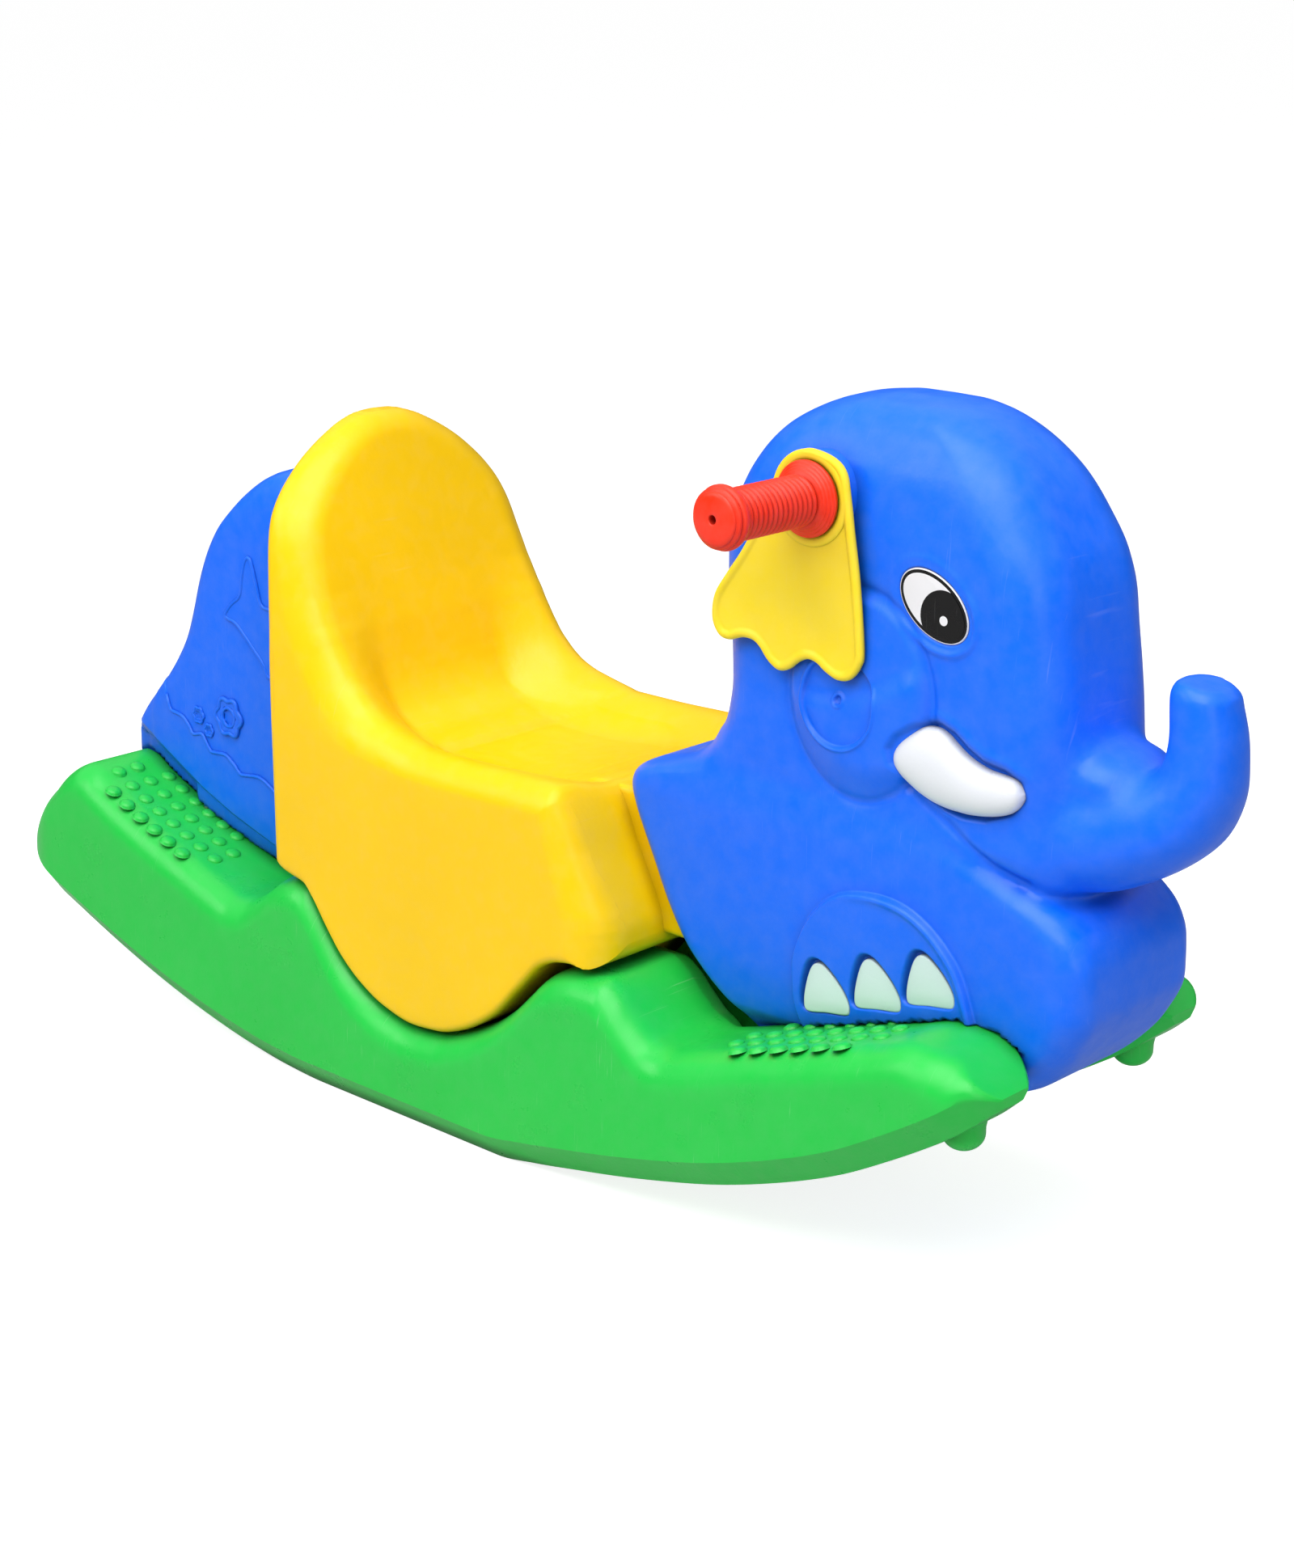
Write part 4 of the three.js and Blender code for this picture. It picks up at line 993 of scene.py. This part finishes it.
def petals(cx, cz, r, count, wave=0.1):
    """Six-petalled line round a middle, or a circle without a wave."""
    a = np.linspace(0, 2 * math.pi, count, endpoint=False)
    edge = r * (1 + wave * np.cos(6 * a))
    return np.column_stack([cx + edge * np.cos(a), cz + edge * np.sin(a)])


def bead(line, across, radius, closed, sign, sides=12):
    """Round moulded bead that follows a line on the side."""
    line = np.asarray(line, float)
    ahead = np.roll(line, -1, 0) - np.roll(line, 1, 0) if closed else np.gradient(line, axis=0)
    ahead /= np.linalg.norm(ahead, axis=1)[:, None]
    c, s = circle(sides)
    c, s = radius * c, sign * (across + radius * s)
    rings = [np.column_stack([x + tz * c, s, z - tx * c]) for (x, z), (tx, tz) in zip(line, ahead)]
    return (np.vstack(rings), loop_quads(len(rings), sides)) if closed else skin(rings)


GRASS = np.array([
    (-345, 238), (-326, 224), (-320, 209), (-308, 207), (-299, 200), (-296, 196), (-286, 198),
    (-280, 191), (-276, 187), (-262, 188), (-252, 183), (-244, 177), (-226, 179), (-210, 173),
    (-200, 165), (-180, 168), (-160, 158),
], float)
GRASS_FINE = np.array([(x, smooth_line(GRASS, x)) for x in np.linspace(-345, -160, 90)])
WING = smooth_loop([
    (-225, 332), (-230, 330), (-234, 318), (-237, 305), (-247, 297), (-254, 288), (-243, 285),
    (-233, 277), (-225, 270), (-216, 262), (-209, 252), (-201, 262), (-197, 275), (-197, 296),
    (-205, 300), (-215, 302), (-220, 318),
], 5, 90)
BEVEL = np.array([
    (-362, 193), (-353, 191.5), (-289, 159.5), (-256, 146.5), (-212, 132.5), (-150, 118),
], float)
# Middles and radii of the moulded flowers
FLOWERS = ((-255, 216, 13.2), (-289, 211, 5.4), (-278, 202, 4.3))


def rear_relief(x, z):
    """Height of the moulded relief on each side of the rear body."""
    h = flower(x, z, *FLOWERS[0]) + 0.8 * (flower(x, z, *FLOWERS[1]) + flower(x, z, *FLOWERS[2]))
    below = np.interp(x, *GRASS_FINE.T) - z
    h += 0.8 * step(-0.9, 0.9, below) * step(-345, -338, x)
    h += 0.9 * step(-0.8, 0.8, outline_distance(WING, x, z))
    under = np.interp(x, *BEVEL.T) - z
    return h - 0.75 * np.clip(under, 0, 12 - 8 * step(-308, -296, x))


def rear_faces(mid, normal):
    """Faces near the rear body's relief."""
    x, z = mid[:, 0], mid[:, 2]
    return beside(mid, normal, [
        (np.hypot(x + 255, z - 216), 20), (np.hypot(x + 283, z - 205), 14),
        (np.interp(x, *GRASS_FINE.T) - z, 4), (outline_distance(WING, x, z), 4),
        (np.interp(x, *BEVEL.T) - z - 4, 6)])


refine(rear, rear_faces)
refine(rear, rear_faces)
emboss(rear, rear_relief)
tuck(rear)
shade_smooth(rear)
finish_piece(rear, BLUE, "blue_plastic", "rear_body")
for name, sign in SIDES:
    motif = joined([bead(*row, sign) for row in (
        (petals(-255, 216, 12.6, 120), 57.6, 1.6, True),
        (petals(-255, 216, 6.6, 48, wave=0), 57.5, 1.3, True),
        (petals(-289, 211, 5.2, 60), 57.3, 1.1, True), (petals(-278, 202, 4.1, 60), 57.3, 1, True),
        (GRASS_FINE[10:], 57.4, 1.3, False), (WING, 57.3, 1.3, True))])
    smooth_piece(f"rump_beads_{name}", motif, None, BLUE, "blue_plastic")

# Ears, grips, tusks, eyes and toenails
EAR = [
    (0, 0.27), (0.14, 0.24), (0.22, 0.17), (0.25, 0.04), (0.28, -0.16), (0.32, -0.42),
    (0.355, -0.78), (0.34, -0.88), (0.28, -0.96), (0.2, -0.98), (0.12, -0.95), (0.06, -0.91),
    (0, -0.9), (-0.06, -0.93), (-0.12, -0.98), (-0.19, -1), (-0.26, -0.96), (-0.32, -0.89),
    (-0.37, -0.86), (-0.44, -0.86), (-0.53, -0.89), (-0.6, -0.87), (-0.645, -0.78), (-0.63, -0.64),
    (-0.545, -0.5), (-0.43, -0.33), (-0.24, 0.02), (-0.17, 0.16), (-0.09, 0.24),
]
EAR_OUTLINE = smooth_loop(scaled(EAR, HANDLE_X, 110, HANDLE_Z, 101), 8, 300)
EAR_INNER, EAR_OUTER = 58.95, 63.35
# Insets and heights above EAR_INNER of the ear's beaded edge
EAR_EDGE = (
    (1.2, 0), (0.4, 0.3), (0.05, 1.1), (0, 2), (0.25, 2.9), (0.8, 3.65), (1.6, 4.15), (2.7, 4.4),
    (3.8, 4.15), (4.7, 3.6), (5.4, 3.05), (6.3, 2.85),
)


def bead_ring(inner, outer, base, top, sign, turns=72):
    """Half-round ring about the handle."""
    mid, half = (inner + outer) / 2, (outer - inner) / 2
    prof = [(mid - half * math.cos(a), base + (top - base) * math.sin(a))
            for a in np.linspace(0, math.pi, 12)]
    r, across = np.array(prof + [(outer, base - 1.2), (inner, base - 1.2)]).T
    rings = [np.column_stack([HANDLE_X + r * c, sign * across, HANDLE_Z + r * s])
             for c, s in zip(*circle(turns))]
    return np.vstack(rings), loop_quads(turns, len(r))


# Radii and places of the grip's knob and end disc
KNOB = (
    (13.7, 0), (15.2, 0.5), (16, 1.1), (16.1, 1.9), (15.7, 2.4), (16.6, 2.8), (17.5, 3.5),
    (17.9, 4.6), (17.95, 6.2), (17.5, 7.4), (16.4, 8), (16.8, 8.5), (16.9, 9.5), (16.5, 10.5),
    (15.3, 11), (14.9, 11.3), (14.9, 12.1), (14.4, 12.8), (12.4, 13.4), (9, 13.8), (5.5, 13.95),
    (3, 14), (2.6, 13.7), (2.5, 12.8), (2.5, 8.5), (0.05, 8.4),
)


def grip_profile():
    """Radius against the distance from the middle, from the flange to the end disc."""
    flange = EAR_OUTER + 0.35
    prof = [(11.2, 55), (15.4, 55), (15.4, flange), (21.2, flange)]
    prof += [(21.5, flange + 0.5), (21.5, flange + 1.9)]
    for k in range(4):
        r, a = 21 - k * 1.55, flange + 2.3 + k * 1.35
        prof += [(r, a), (r - 0.15, a + 0.45), (r - 0.95, a + 0.75), (r - 1.2, a + 1)]
    start, knob, ribs = flange + 8, flange + 64, 14
    for t in np.arange(ribs * 8) / 8:
        r = 12.75 + 1.85 * math.sin(math.pi * (t % 1)) ** 0.75
        prof.append((r, start + t * (knob - start) / ribs))
    return prof + [(r, knob + a) for r, a in KNOB]


# The tusk's two edges from the side, and how far its middle is from the toy's
TUSK_UPPER = [
    (324.6, 307.5), (326.2, 313), (331, 319.5), (338.5, 325), (346, 327.8), (352.5, 327.9),
    (358.5, 325.8), (364.5, 321.6), (372, 316.6), (380, 313.2), (388, 311.2), (397, 310.4),
    (403, 309.4), (407, 306.6), (409.6, 302.4),
]
TUSK_LOWER = [
    (324.6, 304.6), (326.6, 300), (330.5, 296.2), (336.5, 292.4), (343.5, 288.8), (351, 286.2),
    (358.5, 284.7), (366, 284.1), (374, 284.1), (382, 284.8), (390, 286.1), (397, 288),
    (403, 290.6), (407.4, 294.6), (409.6, 299.4),
]
TUSK_Y = 52.2


def tusk_sweep(sign):
    """Banana-shaped moulding between its upper and lower edges."""
    fine = 0.5 - 0.5 * np.cos(np.linspace(0, math.pi, 90))
    c, q = [np.sign(f) * np.abs(f) ** power for f, power in zip(circle(48), (0.95, 0.80))]
    rings = []
    for share, a, b in zip(fine, smooth_rows(TUSK_UPPER, fine), smooth_rows(TUSK_LOWER, fine)):
        middle, reach = (a + b) / 2, (a - b) / 2
        bulge = 9.6 * math.sqrt(max(1 - abs(2 * share - 1) ** 3.2, 0)) + 0.4
        rings.append(np.column_stack([middle[0] + reach[0] * c, sign * (TUSK_Y + q * bulge),
                                      middle[1] + reach[1] * c]))
    return skin(rings)


def clipped_disc(cu, cv, radius, shrink, count=72):
    """Round spot on the eye, kept inside the eye's own oval."""
    c, s = circle(count)
    u, v = cu + radius * c, cv + radius * s
    k = np.maximum(np.hypot(u / (EYE[2] / 2 - shrink), v / (EYE[3] / 2 - shrink)), 1)
    return on_eye(u / k, v / k)


EYE_FACE = 54.9
# Name, outline, finish, bevel and the depths of the bottom, side and top below the eye's face
EYE_LAYERS = (
    ("eye_rim", eye_outline(0), EYE_WHITE, 0.5, (1.4, 0.9, 0.45)),
    ("eye_outline", eye_outline(-0.8), EYE_BLACK, 0.3, (0.9, 0.42, 0.36)),
    ("eye_white", eye_outline(-2.7), EYE_WHITE, 0.3, (0.8, 0.30, 0.24)),
    ("eye_pupil", clipped_disc(8.2, -1.0, 15.0, 2.5), EYE_BLACK, 0.2, (0.7, 0.18, 0.12)),
    ("eye_glint", clipped_disc(9.6, -2.0, 2.7, 2.6, 32), EYE_WHITE, 0.1, (0.6, 0.07, 0.02)),
)
for name, sign in SIDES:
    ear = plate(EAR_OUTLINE, [(inset, EAR_INNER + rise) for inset, rise in EAR_EDGE], sign)
    ring = bead_ring(20.6, 27.0, EAR_OUTER - 1.5, EAR_OUTER, sign)
    grip = turned(grip_profile(), 96, HANDLE, X, Z, sign * Y)
    smooth_piece(f"ear_plate_{name}", ear, 60, LEMON, "ear_plastic", f"ear_{name}",
                 body=f"ear_{name}")
    smooth_piece(f"ear_ring_{name}", ring, 60, LEMON, "ear_plastic", body=f"ear_{name}")
    smooth_piece(f"grip_sleeve_{name}", grip, 50, RED, "red_plastic", f"grip_{name}")
    smooth_piece(f"tusk_moulding_{name}", tusk_sweep(sign), None, WHITE, "white_plastic",
                 f"tusk_{name}")

    for k, (label, outline, mat, bevel, levels) in enumerate(EYE_LAYERS):
        levels = [(inset, EYE_FACE - depth) for inset, depth in zip((0, 0, bevel), levels)]
        disc = outward(build_mesh(f"{label}_{name}", *plate(outline, levels, sign)))
        finish_piece(disc, mat, "eye_print", *([f"eye_{name}"] if k == 0 else []))

    for i, outline in enumerate(NAILS):
        nail = plate(outline, [(0, 57.2), (0, 59.6), (0.2, 60.15), (0.6, 60.5), (1.3, 60.7)], sign)
        smooth_piece(f"toenail_inset_{name}_{i + 1}", nail, 60, NAIL_FINISH, "nail_plastic",
                     f"toenail_{name}_{i + 1}")

# Plain pieces keep their solids and get a finish
for name, node in nodes.items():
    if name.startswith(("runner_screw", "handle_bar")):
        node.data.materials.clear()
        node.data.materials.append(STEEL)

# Floor, light and backdrop
floor = placed("floor", bpy.data.meshes.new("floor"))
floor.data.from_pydata([(-60, -60, 0), (60, -60, 0), (60, 60, 0), (-60, 60, 0)], [], [(0, 1, 2, 3)])
floor_mat, tree, bsdf = material("floor")
tree.nodes.remove(bsdf)
camera_ray = add(tree, "LightPath", {}, "Is Camera Ray")
glow = add(tree, "Math", {0: camera_ray, 1: 0.83}, operation="MULTIPLY")
feed(tree.nodes["Material Output"], {"Surface": add(tree, "AddShader", {
    0: add(tree, "BsdfDiffuse", {"Color": (0.55, 0.55, 0.55, 1)}),
    1: add(tree, "Emission", {"Color": (1, 1, 1, 1), "Strength": glow})})})
floor.data.materials.append(floor_mat)

# World: white to the camera, an even fill, and a bright ceiling over a dim room in reflections
world = bpy.data.worlds.new("studio")
bpy.context.scene.world = world
world.use_nodes = True
tree = world.node_tree
height = add(tree, "SeparateXYZ", {0: add(tree, "TexCoord", {}, "Generated")}, "Z")
ceiling = add(tree, "MapRange", {"Value": height, "From Min": 0.25, "From Max": 0.95,
                                 "To Min": 0.06, "To Max": 1.5})
glossy, camera_ray = [add(tree, "LightPath", {}, f"Is {kind} Ray") for kind in ("Glossy", "Camera")]
fill = add(tree, "Mix", {"Factor": glossy, "A": 0.3, "B": ceiling}, "Result")
strength = add(tree, "Mix", {"Factor": camera_ray, "A": fill, "B": 1.0}, "Result")
feed(tree.nodes["Background"], {"Color": (1, 1, 1, 1), "Strength": strength})


def area_light(name, place, target, size, energy):
    """Rectangular lamp that faces its target."""
    light = bpy.data.lights.new(name, "AREA")
    light.shape = "RECTANGLE"
    light.size, light.size_y = size
    light.energy = energy
    obj = placed(name, light)
    obj.location = place
    obj.rotation_euler = (Vector(target) - Vector(place)).to_track_quat("-Z", "Y").to_euler()


area_light("key", (0.55, -1.05, 2.3), (0.05, 0, 0.2), (2.4, 2.4), 72)
area_light("left", (-1.5, -2.1, 1.9), (0, 0, 0.3), (1.2, 1.4), 20)
area_light("front", (2.4, -1.2, 0.9), (0.1, 0, 0.25), (1.0, 1.4), 8)
bpy.context.scene.view_settings.view_transform = "Standard"
